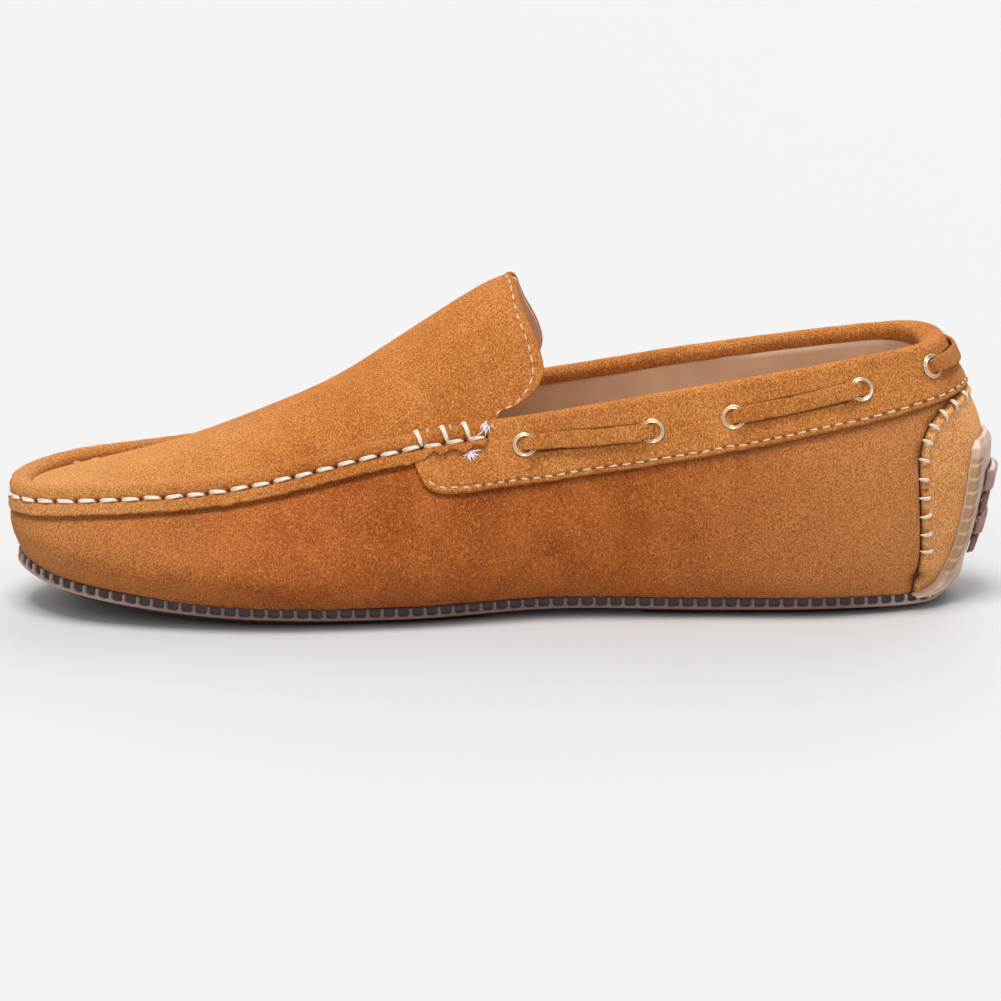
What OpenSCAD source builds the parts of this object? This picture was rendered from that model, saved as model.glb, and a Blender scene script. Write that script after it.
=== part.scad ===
// Suede driving moccasin, right foot, men's size EU 42.
// Millimetres. Toe towards -X, inner (medial) side towards -Y, ground at z = 0.

/* [Leather] */
// Thickness of the suede of the wall, apron, heel panel and collar band
suede = 1.3; // [1.0:0.1:1.5]
// Thickness of the lining leather
lining = 0.8; // [0.6:0.1:1.0]
// Gap left between two layers that lie on each other
gap = 0.05; // [0.03:0.01:0.1]

/* [Apron seam] */
// Distance from the crest of the raised seam down to its outer stitches
stitch_drop = 5.3; // [4.5:0.1:6]
// Distance from the crest down to the apron's raw edge
lap_drop = 9.4; // [8.5:0.1:10.5]
// Depth of the groove inside the raised seam
groove_drop = 3.2; // [2.5:0.1:4]
// Length of one hand stitch with its gap
hand_pitch = 6.4; // [5.5:0.1:7.5]
// Radius of the thick hand-sewing thread
hand_r = 0.65; // [0.5:0.05:0.75]

/* [Collar] */
// Height of the collar band at the throat
band_front = 20.5; // [19:0.5:22]
// Height of the collar band at the back of the heel
band_back = 16.5; // [15:0.5:18]
// Extra thickness of the padded roll behind the heel
heel_puff = 3.6; // [2:0.1:5]
// Overlap of the band on the wall below it
band_lap = 8.7; // [7:0.1:9]
// Outer radius of an eyelet's flange
eyelet_r = 3.6; // [3.4:0.1:3.8]
// Inner radius of an eyelet's barrel
eyelet_bore = 2.4; // [2.2:0.1:2.5]
// Width of the flat suede lace
lace_w = 5; // [4.5:0.1:5.5]
// Thickness of the lace
lace_t = 1.2; // [1.0:0.1:1.4]

/* [Sole] */
// Thickness of the clear outsole under the foot
sole_t = 3.2; // [3:0.1:4]
// How far the outsole's rim stands out past the upper
rim_out = 1.1; // [0.8:0.1:1.4]
// Thickness of the outsole's tab on the back of the heel
tab_t = 2.9; // [2.5:0.1:3.2]
// Thickness of the brown treads under the forefoot and the heel
tread_t = 2.4; // [2:0.1:2.6]
// Pitch of the grooves in the heel tread
groove_pitch = 6; // [5:0.5:8]
// Pitch of the bars up the back of the heel, as a part of the heel's height
bar_pitch = 0.098; // [0.09:0.002:0.1]

/* [Stitches] */
// Pitch of the fine machine stitches
fine_pitch = 3.5; // [3:0.1:4]
// Radius of the fine thread
fine_r = 0.25; // [0.2:0.01:0.3]
// Length of a fine stitch
fine_length = 2.2; // [1.8:0.1:2.6]

/* [Footbed] */
// Thickness of the lasting board
board_t = 1.8; // [1.5:0.1:2]
// Thickness of the foam pad
foam_t = 2.5; // [2:0.1:3]
// Thickness of the leather sock liner
sock_t = 0.9; // [0.7:0.1:1.1]

/* [Hidden] */
// Each ring runs round the shoe at one level. Its rows go from the back of the
// heel to the tip of the toe: distance along the shoe, half width, height.
FEATHER = [[134, 0, 9], [124.5, 18, 5.4], [98, 27, 5.4], [60, 29.5, 5.5], [15, 31, 5.8],
           [-30, 40.5, 5.4], [-80, 41.5, 6.8], [-123, 28, 11.5], [-141.2, 0, 16]];
LOW = [[139.5, 0, 29], [130, 20, 22], [98, 33, 15], [60, 35, 15], [15, 38, 16],
       [-30, 47, 14], [-80, 47.5, 16], [-127, 31, 20], [-143.8, 0, 23]];
HIGH = [[141.7, 0, 52], [131, 21, 50], [98, 33.5, 44], [60, 35.5, 42], [15, 38, 38],
        [-30, 44, 32], [-80, 42, 28], [-127.5, 30, 27.5], [-144.2, 0, 28.5]];
TOP = [[128.3, 0, 79.5], [121.3, 18, 79], [95, 25.5, 75], [58, 30, 69], [18, 31, 62],
       [-28, 32, 55], [-80, 31.5, 43.5], [-128, 22.5, 39.6], [-142, 0, 38.6]];
// Height of the apron's crown along the shoe
CROWN = [[-145, 35], [-125, 39], [-105, 43.7], [-89, 48.5], [-70, 55.7], [-50, 64.6], [-30, 77.2],
         [-12, 88.8], [-3, 94], [14, 101]];
// Where the eyelets sit along each side
EYELETS = [8.2, 43.8, 66.3, 102.6, 122];
// How far the eyelets and the lace lie below the topline along the shoe
DROP = [[-130, 8.9], [8, 8.9], [44, 10.6], [66, 10.5], [103, 9.2], [122, 7.2], [131, 7.2]];
// Sideways bend of the shoe's long axis
waist_shift = 2.5;
toe_swing = 8;
// Ends of the apron seam, the collar band and the heel panel
throat_x = -3;
band_x = -23;
// Depth of the collar band along the shoe
BAND = [[-23.5, 10.4], [-20, 16.5], [-14, 19.8], [0, band_front], [60, 20.3], [100, 19.2],
        [132, band_back]];
// Half width of the heel panel round the heel, from the sole to its apex
PANEL = [[0, 0.073], [0.2, 0.077], [0.4, 0.08], [0.55, 0.0825], [0.7, 0.0838], [0.78, 0.0815],
         [0.83, 0.0775], [0.87, 0.0705], [0.9, 0.06], [0.92, 0.043], [0.935, 0.015], [1, 0.001]];
// Height of the outsole's tab round the heel
TAB = [[0, 0.645], [0.02, 0.645], [0.035, 0.64], [0.041, 0.615], [0.045, 0.54], [0.047, 0.4],
       [0.0485, 0.22], [0.0505, 0.1], [0.054, 0.045], [0.062, 0.02], [0.075, 0], [0.5, 0]];
HEEL_STEPS = [0, 0.01, 0.02, 0.03, 0.037, 0.0415, 0.045, 0.0475, 0.0505, 0.055, 0.063, 0.075];
// Free edge of the tongue, from its foot to its top
TONGUE = [[0, -2], [0.09, 0], [0.11, 4.4], [0.14, 8.2], [0.18, 11], [0.23, 12.6], [0.32, 11.5],
          [0.49, 7.4], [0.6, 5.8], [0.83, 4.1], [1, 2.2]];
// Distance of the wall's top below the topline behind the throat
wall_top = band_front - band_lap;
filler_foot = 5.4;
roll_foot = 4.7;
outside = gap + suede;
tiny = 0.001;

// ---- curves -------------------------------------------------------------

function through(a, b, c, d, f) =
    0.5 * (2 * b + (c - a) * f + (2 * a - 5 * b + 4 * c - d) * f ^ 2 + (3 * b - 3 * c + d - a) * f ^ 3);
function smooth(x) = let (c = min(max(x, 0), 1)) c * c * (3 - 2 * c);
function slope(tab, i) =
    let (a = tab[max(i - 1, 0)], b = tab[min(i + 1, len(tab) - 1)]) (b[1] - a[1]) / (b[0] - a[0]);
function segment(tab, x, i = 0) =
    i >= len(tab) - 2 || x < tab[i + 1][0] ? i : segment(tab, x, i + 1);
// Smooth curve through a table of [x, y]
function curve(tab, x) =
    let (i = segment(tab, x), h = tab[i + 1][0] - tab[i][0], f = (x - tab[i][0]) / h)
    (2 * f ^ 3 - 3 * f ^ 2 + 1) * tab[i][1] + (f ^ 3 - 2 * f ^ 2 + f) * h * slope(tab, i)
    + (3 * f ^ 2 - 2 * f ^ 3) * tab[i + 1][1] + (f ^ 3 - f ^ 2) * h * slope(tab, i + 1);

// ---- the surface of the upper -------------------------------------------

// The shoe's long axis seen from above
function spine(x) =
    waist_shift * exp(-((x - 15) / 50) ^ 2) - toe_swing * max(0, (-x - 20) / 125) ^ 2;
function ring_point(tab, j) =
    let (n = len(tab) - 1, k = (j % (2 * n) + 2 * n) % (2 * n), p = tab[k <= n ? k : 2 * n - k])
    [p[0], k <= n ? -p[1] : p[1], p[2]];
// A ring at t: 0 is the back of the heel, 0.25 the inner side, 0.5 the toe, 0.75 the outer side
function ring(tab, t) =
    let (q = t * 2 * (len(tab) - 1), i = floor(q), p = through(
        ring_point(tab, i - 1), ring_point(tab, i), ring_point(tab, i + 1), ring_point(tab, i + 2),
        q - i))
    p + [0, spine(p[0]), 0];
// The upper's outer surface: v is 0 at the sole and 1 at the topline or crest
function side(t, v) =
    let (a = ring(FEATHER, t), b = ring(LOW, t), c = ring(HIGH, t), d = ring(TOP, t),
         p = [2 * a - b, a, b, c, d, 2 * d - c], i = min(max(floor(v * 3), 0), 2))
    through(p[i], p[i + 1], p[i + 2], p[i + 3], v * 3 - i);
function unit(a) = a / norm(a);
function outward(t, v) =
    unit(cross(side(t, v + 0.01) - side(t, v - 0.01), side(t + tiny, v) - side(t - tiny, v)));
// A point off the surface by n
function off(t, v, n) = side(t, v) + n * outward(t, v);
// v at a distance below the topline or crest
function below(t, s) = 1 - s / (3 * norm(ring(TOP, t) - ring(HIGH, t)));
// A point given by its distance below the top and its distance off the surface
function at(t, s, n) =
    let (v = below(t, max(s, 0)), p = off(t, v, n), up = unit(side(t, 1) - side(t, 0.97)))
    p + min(s, 0) * -up;
// t of the place x on the inner side
function find_t(x, tab, lo = 0, hi = 0.5, n = 24) =
    n == 0 ? (lo + hi) / 2
    : let (m = (lo + hi) / 2)
      ring(tab, m)[0] > x ? find_t(x, tab, m, hi, n - 1) : find_t(x, tab, lo, m, n - 1);
throat_t = find_t(throat_x, TOP);
band_t = find_t(band_x, TOP);

// ---- closed skins -------------------------------------------------------

function steps(a, b, n) = [for (i = [0 : n]) a + (b - a) * i / n];
function tail(a) = [for (i = [1 : len(a) - 1]) a[i]];
function across(a, b, f) = a + (b - a) * f;
// A solid between two grids of points. keep(i, j) says which cells it has.
// round: the last column meets the first. fold: the last row is a middle line shared by both halves.
module skin(outer, inner, keep = function (i, j) true, round = false, fold = false) {
    n = len(outer);
    m = len(outer[0]);
    p = concat([for (r = outer) each r], [for (r = inner) each r]);
    last = round ? n - 1 : n - 2;
    other = function (i) round ? (n - i) % n : n - 1 - i;
    col = function (i, j) fold && j == m - 1 ? min(i % n, other(i % n)) : i % n;
    id = function (i, j) col(i, j) * m + j;
    in = function (i, j) n * m + col(i, j) * m + j;
    there = function (i, j)
        fold && j == m - 1 ? true
        : j < 0 || j > m - 2 ? false
        : round ? keep((i + n) % n, j)
        : i < 0 || i > last ? false : keep(i, j);
    quad = function (a, b, c, d) a == b ? [[a, c, d]] : c == d ? [[a, b, c]] : [[a, b, c], [a, c, d]];
    faces = [for (i = [0 : last], j = [0 : m - 2]) if (keep(i, j)) each concat(
        quad(id(i, j), id(i + 1, j), id(i + 1, j + 1), id(i, j + 1)),
        quad(in(i, j), in(i, j + 1), in(i + 1, j + 1), in(i + 1, j)),
        there(i, j - 1) ? [] : quad(id(i, j), in(i, j), in(i + 1, j), id(i + 1, j)),
        there(i, j + 1) ? [] : quad(id(i + 1, j + 1), in(i + 1, j + 1), in(i, j + 1), id(i, j + 1)),
        there(i - 1, j) ? [] : quad(id(i, j + 1), in(i, j + 1), in(i, j), id(i, j)),
        there(i + 1, j) ? [] : quad(id(i + 1, j), in(i + 1, j), in(i + 1, j + 1), id(i + 1, j + 1)))];
    polyhedron(points = p, faces = faces, convexity = 8);
}
// A round bar between two points
module bar(a, b, r) {
    d = b - a;
    translate(a) rotate([0, acos(d[2] / norm(d)), atan2(d[1], d[0])])
        cylinder(r = r, h = norm(d), $fn = 16);
}

// ---- sole ---------------------------------------------------------------

// The feather line at t, moved outwards in plan and upwards
function outline(t, out, up) =
    let (d = ring(FEATHER, t + tiny) - ring(FEATHER, t - tiny), n = unit([-d[1], d[0], 0]))
    ring(FEATHER, t) + out * n + [0, 0, up];
function half_turn(t) = t > 0.5 ? 1 - t : t;
function heel_part(t) = smooth((0.085 - half_turn(t)) / 0.08);
sole_cols = concat(HEEL_STEPS, tail(steps(0.075, 0.5, 28)), tail(steps(0.5, 0.925, 28)),
                   [for (i = [len(HEEL_STEPS) - 2 : -1 : 1]) 1 - HEEL_STEPS[i]]);
rise_rate = 25;
heel_wedge = 2.6;
heel_x = 98;
toe_x = -123;
// The outsole's side: w runs from -1 at its foot through 0 at the feather line
function sole_side(t, w, n_top, n_foot) =
    w < 0 ? outline(t, n_foot - 5 * heel_part(t) * w ^ 2,
                    w * (0.8 * sole_t + heel_wedge * heel_part(t)) - gap)
    : off(t, w / rise_rate, n_foot + (n_top - n_foot) * smooth(w / 2.5));
// The sole's middle line under t; past both ends of the flat it runs on at a slant
function sole_middle(t, up) =
    let (p = (outline(t, 0, up) + outline((1 - t) % 1, 0, up)) / 2, x = p[0])
    [x > heel_x ? across(heel_x, x, 0.62) : x < toe_x ? across(toe_x, x, 0.8) : x,
     p[1], x > heel_x ? 5.4 + up : p[2]];
module outsole() {
    rows = [1, 0.8, 0.6, 0.4, 0.2, 0.1, 0.03, 0];
    top_w = function (t) rise_rate * max(0, curve(TAB, half_turn(t)));
    to_middle = function (e, c) [e, across(e, c, 0.5), c];
    under = [for (t = sole_cols) let (w = top_w(t), h = heel_part(t)) concat(
        [for (f = rows) sole_side(t, -1 + f * (1 + w), tab_t, rim_out + 2 * h)],
        to_middle(outline(t, rim_out - 0.7 - 4 * h, -sole_t - heel_wedge * h ^ 3),
                  sole_middle(t, -sole_t)))];
    over = [for (t = sole_cols) let (w = top_w(t)) concat(
        [for (f = rows) let (q = -1 + f * (1 + w))
            q > 0 ? off(t, q / rise_rate, gap) : outline(t, -0.3 + 0.3 * q, -gap)],
        to_middle(outline(t, -1.4, -gap), sole_middle(t, -gap)))];
    color("burlywood") skin(under, over, round = true, fold = true);
}
// A slab under the outsole between two places along the shoe
module slab(x_front, x_back, cols) {
    edge = function (t) outline(t, -3, -sole_t - gap);
    ts = steps(find_t(x_back, FEATHER), find_t(x_front, FEATHER), cols);
    top = [for (t = ts) [for (f = steps(0, 1, 4)) across(edge(t), edge(1 - t), f)]];
    skin(top, [for (r = top) [for (p = r) [p[0], p[1], max(0, p[2] - tread_t)]]]);
}
module forefoot_tread() {
    color("saddlebrown") slab(-131, -4, 22);
}
module heel_tread() {
    color("saddlebrown") difference() {
        slab(42, 112, 12);
        for (x = [50 : groove_pitch : 106]) translate([x, -40, -1]) cube([1.2, 80, 1.9]);
    }
}
// Four bars stacked up the back of the heel on the outsole's tab
module heel_back_tread() {
    foot = tab_t + 0.1;
    color("saddlebrown") for (k = [0 : 3]) {
        low = 0.14 + k * bar_pitch;
        grid = function (n) [for (t = steps(-0.027, 0.027, 6))
            [for (v = steps(low, low + bar_pitch - 0.016, 2)) off(t, v, n)]];
        skin(grid(foot + (k % 2 == 0 ? 1.7 : 2.3)), grid(foot));
    }
}

// ---- footbed ------------------------------------------------------------

module layer(inset, low, high) {
    ts = concat([0.012], steps(0.03, 0.47, 26), [0.488]);
    grid = function (up) [for (t = ts)
        [for (f = steps(0, 1, 4)) across(outline(t, -inset, up), outline(1 - t, -inset, up), f)]];
    skin(grid(high), grid(low));
}
board_top = gap + board_t;
foam_top = board_top + gap + foam_t;
module lasting_board() {
    color("tan") layer(3.4, gap, board_top);
}
module footbed_foam() {
    color("khaki") layer(3.5, board_top + gap, foam_top);
}
module sock_liner() {
    color("peru") layer(3.6, foam_top + gap, foam_top + gap + sock_t);
}

// ---- upper --------------------------------------------------------------

// Distance of the wall's top edge below the crest or topline
function wall_drop(t) = let (r = half_turn(t)) across(wall_top, 1.75, smooth((r - throat_t) / 0.02));
function wall_point(t, g, n) = off(t, g * below(t, wall_drop(t)), n);
wall_rows = [0, 0.15, 0.3, 0.45, 0.6, 0.72, 0.8, 0.86, 0.9, 0.935, 1];
seam_slit = 0.0008;
seam_reach = 0.12;
module vamp_wall() {
    near = concat(steps(0, seam_reach, 7), tail(steps(seam_reach, 0.5, 25)));
    fs = concat(near, [for (i = [len(near) - 2 : -1 : 0]) 1 - near[i]]);
    shift = function (f, g) (curve(PANEL, g) + seam_slit) * max(0, 1 - half_turn(f) / seam_reach);
    grid = function (d) [for (f = fs) [for (g = wall_rows)
        wall_point(f + (f < 0.5 ? 1 : -1) * shift(f, g), g, d)]];
    color("peru") skin(grid(0), grid(-suede));
}
module heel_panel() {
    grid = function (d) [for (f = steps(-1, 1, 8)) [for (g = wall_rows)
        if (g < 0.95) wall_point(f * (curve(PANEL, g) - seam_slit), g, d)]];
    color("sandybrown") skin(grid(0), grid(-suede));
}
module heel_counter() {
    face = -suede - 2 * gap;
    grid = function (d) [for (t = steps(-0.15, 0.15, 16))
        [for (f = steps(0, 1, 5)) off(t, across(0.05, below(t, 17), f), d)]];
    color("dimgray") skin(grid(face), grid(face - 0.7));
}
// The lining lies deeper behind the heel, over the counter
function lining_depth(t) = suede + 2 * gap + 0.8 * smooth((0.19 - abs(t)) / 0.035);
// The lining's top edge, tucked under the collar's roll; lower where the apron lies over it
function lining_top(t) =
    below(t, roll_end(t) + 0.3 + 4 * smooth((abs(t) - throat_t + 0.01) / 0.01));
module quarter_lining() {
    ts = concat(steps(-band_t, -throat_t, 3), tail(steps(-throat_t, throat_t, 44)),
                tail(steps(throat_t, band_t, 3)));
    grid = function (d) [for (t = ts)
        [for (f = [0.02, 0.2, 0.4, 0.6, 0.8, 1]) off(t, f * lining_top(t), -lining_depth(t) - d)]];
    color("tan") skin(grid(0), grid(lining));
}

// Stations of the apron: 0 at the inner throat, 1 at the toe, 2 at the outer throat.
// The tongue's edge is one station further at both ends.
function apron_t(c) = throat_t + (0.5 - throat_t) * min(max(c, 0), 2);
// The apron's face between the seam's groove (f = 0) and the crown (f = 1)
function apron_face(c, f) =
    let (k = max(0, -c, c - 2), p = at(apron_t(c), groove_drop, -2 * outside - gap), r = abs(c - 1),
         cx = p[0] + (5 + 25 * r) * exp(-(r / 0.2) ^ 2),
         x = across(across(p[0], cx, f), curve(TONGUE, f), k),
         top = curve(CROWN, across(cx, TONGUE[len(TONGUE) - 1][1], k)))
    [x, across(p[1], spine(x), f), p[2] + (top - p[2]) * (1 - (1 - f * f / (f + 0.05)) ^ 2.4)];
function apron_normal(c, f) =
    let (n = cross(apron_face(min(c + 0.004, 3), f) - apron_face(max(c - 0.004, -1), f),
                   apron_face(c, min(f + 0.01, 1)) - apron_face(c, max(f - 0.01, 0))))
    unit(n[2] < 0 ? -n : n);
// A point off the apron's face by d; on the crown it stays in the middle plane
function apron_off(c, f, d) =
    let (n = apron_normal(c, f)) apron_face(c, f) + d * (f > 0.99 ? unit([n[0], 0, n[2]]) : n);
tongue_cols = 4;
apron_cols = concat(steps(-1, 0, tongue_cols), tail(steps(0, 0.8, 20)), tail(steps(0.8, 1.2, 12)),
                    tail(steps(1.2, 2, 20)), tail(steps(2, 3, tongue_cols)));
face_rows = [0.03, 0.09, 0.12, 0.17, 0.25, 0.35, 0.5, 0.7, 1];
// Section of the raised seam at a station: outer and inner points, from the raw edge over the crest
function ridge(c) =
    let (t = apron_t(c), foot = apron_face(c, 0) - apron_face(min(max(c, 0), 2), 0)) [
        [at(t, lap_drop, outside), at(t, lap_drop, gap)],
        [at(t, stitch_drop, outside), at(t, stitch_drop, gap)],
        [at(t, 1.3, outside), at(t, 1.9, gap)],
        [at(t, 0, 0.3), at(t, 1.6, -0.2)],
        [at(t, 0, -suede - 0.3), at(t, 1.6, -suede + 0.2)],
        [at(t, 1.3, -suede - outside), at(t, 1.9, -suede - gap)],
        [apron_face(c, 0), at(t, groove_drop + 2.2, -suede - gap) + foot]];
module apron() {
    n = len(apron_cols);
    last_ridge_row = 5;
    grid = function (k) [for (c = apron_cols) concat(
        [for (p = ridge(c)) p[k]],
        [for (f = face_rows) apron_off(c, f, k == 0 ? 0 : -suede)])];
    kept = function (i, j) j > last_ridge_row || (i >= tongue_cols && i < n - 1 - tongue_cols);
    color("peru") skin(grid(0), grid(1), keep = kept, fold = true);
}
module apron_lining() {
    cols = concat(steps(-1, 0, tongue_cols), tail(steps(0, 2, 40)), tail(steps(2, 3, tongue_cols)));
    face = -suede - 0.15;
    grid = function (d) [for (c = cols) [for (f = face_rows) if (f > 0.1) apron_off(c, f, d)]];
    color("tan") skin(grid(face), grid(face - lining), fold = true);
}

// Depth of the collar band at t
function band_depth(t) = curve(BAND, ring(TOP, t)[0]);
// Depth of the eyelets and the lace at t
function lace_drop(t) = curve(DROP, ring(TOP, t)[0]);
front_cols = 5;
band_cols = concat(steps(-band_t, -throat_t, front_cols), tail(steps(-throat_t, -0.07, 22)),
                   tail(steps(-0.07, 0.07, 12)), tail(steps(0.07, throat_t, 22)),
                   tail(steps(throat_t, band_t, front_cols)));
// The rolled topline is padded behind the heel: it stands in further and reaches lower
function puff(t) = heel_puff * smooth((0.1 - half_turn(abs(t))) / 0.09);
function roll_end(t) = roll_foot + 0.6 * puff(t);
// Section of the band: outer and inner points, from the raw edge up and over the rolled topline
band_foot = 9.8;
function band_section(t) =
    let (b = band_depth(t), m = (b + band_foot) / 2, i = -suede - gap) [
        [at(t, b, outside), at(t, b, gap)],
        [at(t, m, outside), at(t, m, gap)],
        [at(t, band_foot, outside), at(t, band_foot, gap)],
        [at(t, 1.5, outside), at(t, 2, gap)],
        [at(t, 0, 0.4), at(t, 1.3, -0.3)],
        [at(t, 0, i - 0.5 - 0.4 * puff(t)), at(t, 1.3, i + 0.3 - 0.4 * puff(t))],
        [at(t, 1.5, i - suede - puff(t)), at(t, 2, i - puff(t))],
        [at(t, roll_end(t), i - suede - puff(t)), at(t, roll_end(t), i - puff(t))]];
module collar_band() {
    n = len(band_cols);
    grid = function (k) [for (t = band_cols) [for (p = band_section(t)) p[k]]];
    kept = function (i, j) j < 2 || (i >= front_cols && i < n - 1 - front_cols);
    color("peru") difference() {
        skin(grid(0), grid(1), keep = kept);
        for (x = EYELETS, far = [false, true]) through_band(x, far)
            translate([0, 0, -3]) cylinder(r = eyelet_bore + 0.45, h = 6, $fn = 24);
    }
}
module collar_filler() {
    ts = [for (t = band_cols) if (abs(t) < throat_t - 0.002) t];
    outer = [for (t = ts) [at(t, 2.1, -gap), at(t, filler_foot, -gap)]];
    inner = [for (t = ts) let (d = -suede - 0.02 - 0.9 * puff(t)) [at(t, 2.1, d), at(t, roll_end(t), d)]];
    color("khaki") skin(outer, inner);
}

// ---- eyelets and lace ---------------------------------------------------

// Puts a child on the band at an eyelet, its z axis pointing out of the shoe
module through_band(x, far) {
    t = far ? 1 - find_t(x, TOP) : find_t(x, TOP);
    d = outward(t, below(t, lace_drop(t)));
    translate(at(t, lace_drop(t), 0)) rotate([0, acos(d[2]), atan2(d[1], d[0])]) children();
}
module eyelet() {
    rotate_extrude($fn = 32) polygon([
        [eyelet_bore, -0.3], [eyelet_bore + 0.3, -0.3], [eyelet_bore + 0.3, outside + 0.35],
        [eyelet_r - 0.3, outside + 0.35], [eyelet_r, outside + 0.55], [eyelet_r - 0.3, outside + 0.85],
        [eyelet_bore + 0.3, outside + 0.95], [eyelet_bore, outside + 0.6]]);
}
module eyelets_medial() {
    color("gold") for (x = EYELETS) through_band(x, false) eyelet();
}
module eyelets_lateral() {
    color("gold") for (x = EYELETS) through_band(x, true) eyelet();
}

// One crossing of the band at an eyelet: along the outside, through, and away along the inside.
// Rows are place round the shoe, distance off the surface, width, thickness.
lace_in = -0.8;
lace_out = outside + lace_t / 2 + 0.1;
function rate(t) = tiny / norm(ring(TOP, t + tiny) - ring(TOP, t));
LACE_DIP = [[-7.5, lace_out, lace_w, lace_t], [-4.2, outside + 1.6, lace_w, lace_t],
            [-1.6, outside + 1.75, 4.2, lace_t], [-0.3, outside + 1.2, 3.8, lace_t],
            [0.1, outside, 3.8, 1], [0.1, 0.2, 3.8, 1], [0.9, lace_in + 0.15, 3.9, 0.8],
            [3, lace_in, 4.3, 0.8], [6, lace_in, lace_w, 0.8]];
function lace_hole(k, way) =
    let (t = find_t(EYELETS[k], TOP), r = rate(t) * way)
    [for (q = LACE_DIP) [t - q[0] * r, q[1], q[2], q[3]]];
function lace_run(a, b, n) =
    [for (x = steps(EYELETS[a] + 11, EYELETS[b] - 11, n)) [find_t(x, TOP), lace_out, lace_w, lace_t]];
function backwards(a) = [for (i = [len(a) - 1 : -1 : 0]) a[i]];
lace_half = concat(
    tail(backwards(lace_hole(0, -1))), lace_run(0, 1, 3), lace_hole(1, 1),
    backwards(lace_hole(2, -1)), lace_run(2, 3, 2), lace_hole(3, 1),
    backwards(lace_hole(4, -1)), [[0.012, lace_out, lace_w, lace_t]]);
lace_path = backwards(concat([for (q = lace_half) [-q[0], q[1], q[2], q[3]]],
                             [[0, lace_out, lace_w, lace_t]], backwards(lace_half)));
module lace() {
    n = len(lace_path);
    middle = [for (q = lace_path) at(q[0], lace_drop(q[0]), q[1])];
    corners = [[-1, -1], [1, -1], [1, 1], [-1, 1]];
    p = [for (i = [0 : n - 1])
        let (q = lace_path[i], s = lace_drop(q[0]),
             along = unit(middle[min(i + 1, n - 1)] - middle[max(i - 1, 0)]),
             w = unit(at(q[0], s + 1, q[1]) - at(q[0], s - 1, q[1])),
             h = unit(cross(along, w)))
        for (k = corners) middle[i] + k[0] * q[2] / 2 * w + k[1] * q[3] / 2 * h];
    ends = [[3, 2, 1, 0], [for (k = [0 : 3]) 4 * n - 4 + k]];
    sides = [for (i = [0 : n - 2], k = [0 : 3]) let (a = 4 * i + k, b = 4 * i + (k + 1) % 4)
        each [[a, b, a + 4], [b, b + 4, a + 4]]];
    color("chocolate") polyhedron(points = p, faces = concat(ends, sides), convexity = 8);
}

// ---- stitches -----------------------------------------------------------

// Places round the shoe from t to the end, a pitch apart
function walk(t, end, pitch) = t > end ? [] : concat([t], walk(t + pitch * rate(t), end, pitch));
module row_of_stitches(places, drop, height, length, r) {
    for (t = places) {
        half = length / 2 * rate(t);
        bar(at(t - half, drop, height), at(t + half, drop, height), r);
    }
}
module apron_seam_thread() {
    near = walk(throat_t + 3.4 * rate(throat_t), 0.5 - 2.5 * rate(0.5), hand_pitch);
    all = concat(near, [0.5], [for (t = near) 1 - t]);
    color("white") row_of_stitches(all, stitch_drop, outside + hand_r + 0.06, hand_pitch * 0.76, hand_r);
}
module apron_inner_thread() {
    near = walk(throat_t + 6.6 * rate(throat_t), 0.5 - 3 * rate(0.5), hand_pitch);
    all = concat(near, [for (t = near) 1 - t]);
    color("white") row_of_stitches(all, 1.4, -suede - outside - 0.35, 2.4, fine_r);
}
// Stitches laid slantwise over the seam's crest before the throat
module throat_cross_stitches() {
    color("white") for (x = [-25.2, -17.8, -11.4], far = [false, true]) {
        a = find_t(x, TOP);
        b = find_t(x + 3, TOP);
        bar(at(far ? 1 - a : a, 0.4, outside + 0.6),
            at(far ? 1 - b : b, 4.2, outside + 0.6 + hand_r), 0.5);
    }
}
// Stitches over the seam between the heel panel and the wall, square to the seam
WHIP = [0.36, 0.45, 0.53, 0.6, 0.67, 0.74, 0.805, 0.855, 0.89, 0.912, 0.925];
module whip_stitches(sign) {
    seam = function (g) wall_point(sign * curve(PANEL, g), g, 0.42);
    color("white") for (g = WHIP) {
        p = seam(g);
        n = wall_point(sign * curve(PANEL, g), g, 1.42) - p;
        d = sign * unit(cross(seam(g + 0.005) - seam(g - 0.005), n));
        bar(p - 0.6 * d + 0.12 * n, p + 2.8 * d + 0.12 * n, 0.35);
    }
}
module heel_seam_thread_medial() {
    whip_stitches(1);
}
module heel_seam_thread_lateral() {
    whip_stitches(-1);
}
module collar_topstitch() {
    near = walk(0.5 * fine_pitch * rate(0), band_t - 3 * rate(band_t), fine_pitch);
    spot = function (t) at(t, band_depth(t) - 1.6, outside + fine_r + 0.07);
    color("white") for (t = concat(near, [for (q = near) -q])) {
        half = fine_length / 2 * rate(t);
        bar(spot(t - half), spot(t + half), fine_r);
    }
}
module tongue_topstitch() {
    spot = function (c, f) apron_off(c, f, fine_r + 0.09);
    color("white") for (u = [0.14 : 0.056 : 0.96], c = [-0.8, 2.8])
        bar(spot(c, u ^ 1.5), spot(c, min((u + 0.035) ^ 1.5, 1)), fine_r);
}
module throat_bartacks() {
    color("white") for (k = [0 : 2], far = [false, true]) {
        a = find_t(throat_x - 1.2 - 0.75 * k, TOP);
        t = far ? 1 - a : a;
        bar(at(t, 0.9, outside + 0.4), at(t, 4.1, outside + 0.4), 0.3);
    }
}

outsole();
forefoot_tread();
heel_tread();
heel_back_tread();
lasting_board();
footbed_foam();
sock_liner();
vamp_wall();
heel_panel();
heel_counter();
quarter_lining();
apron();
apron_lining();
collar_band();
collar_filler();
eyelets_medial();
eyelets_lateral();
lace();
apron_seam_thread();
apron_inner_thread();
throat_cross_stitches();
heel_seam_thread_medial();
heel_seam_thread_lateral();
collar_topstitch();
tongue_topstitch();
throat_bartacks();
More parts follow.
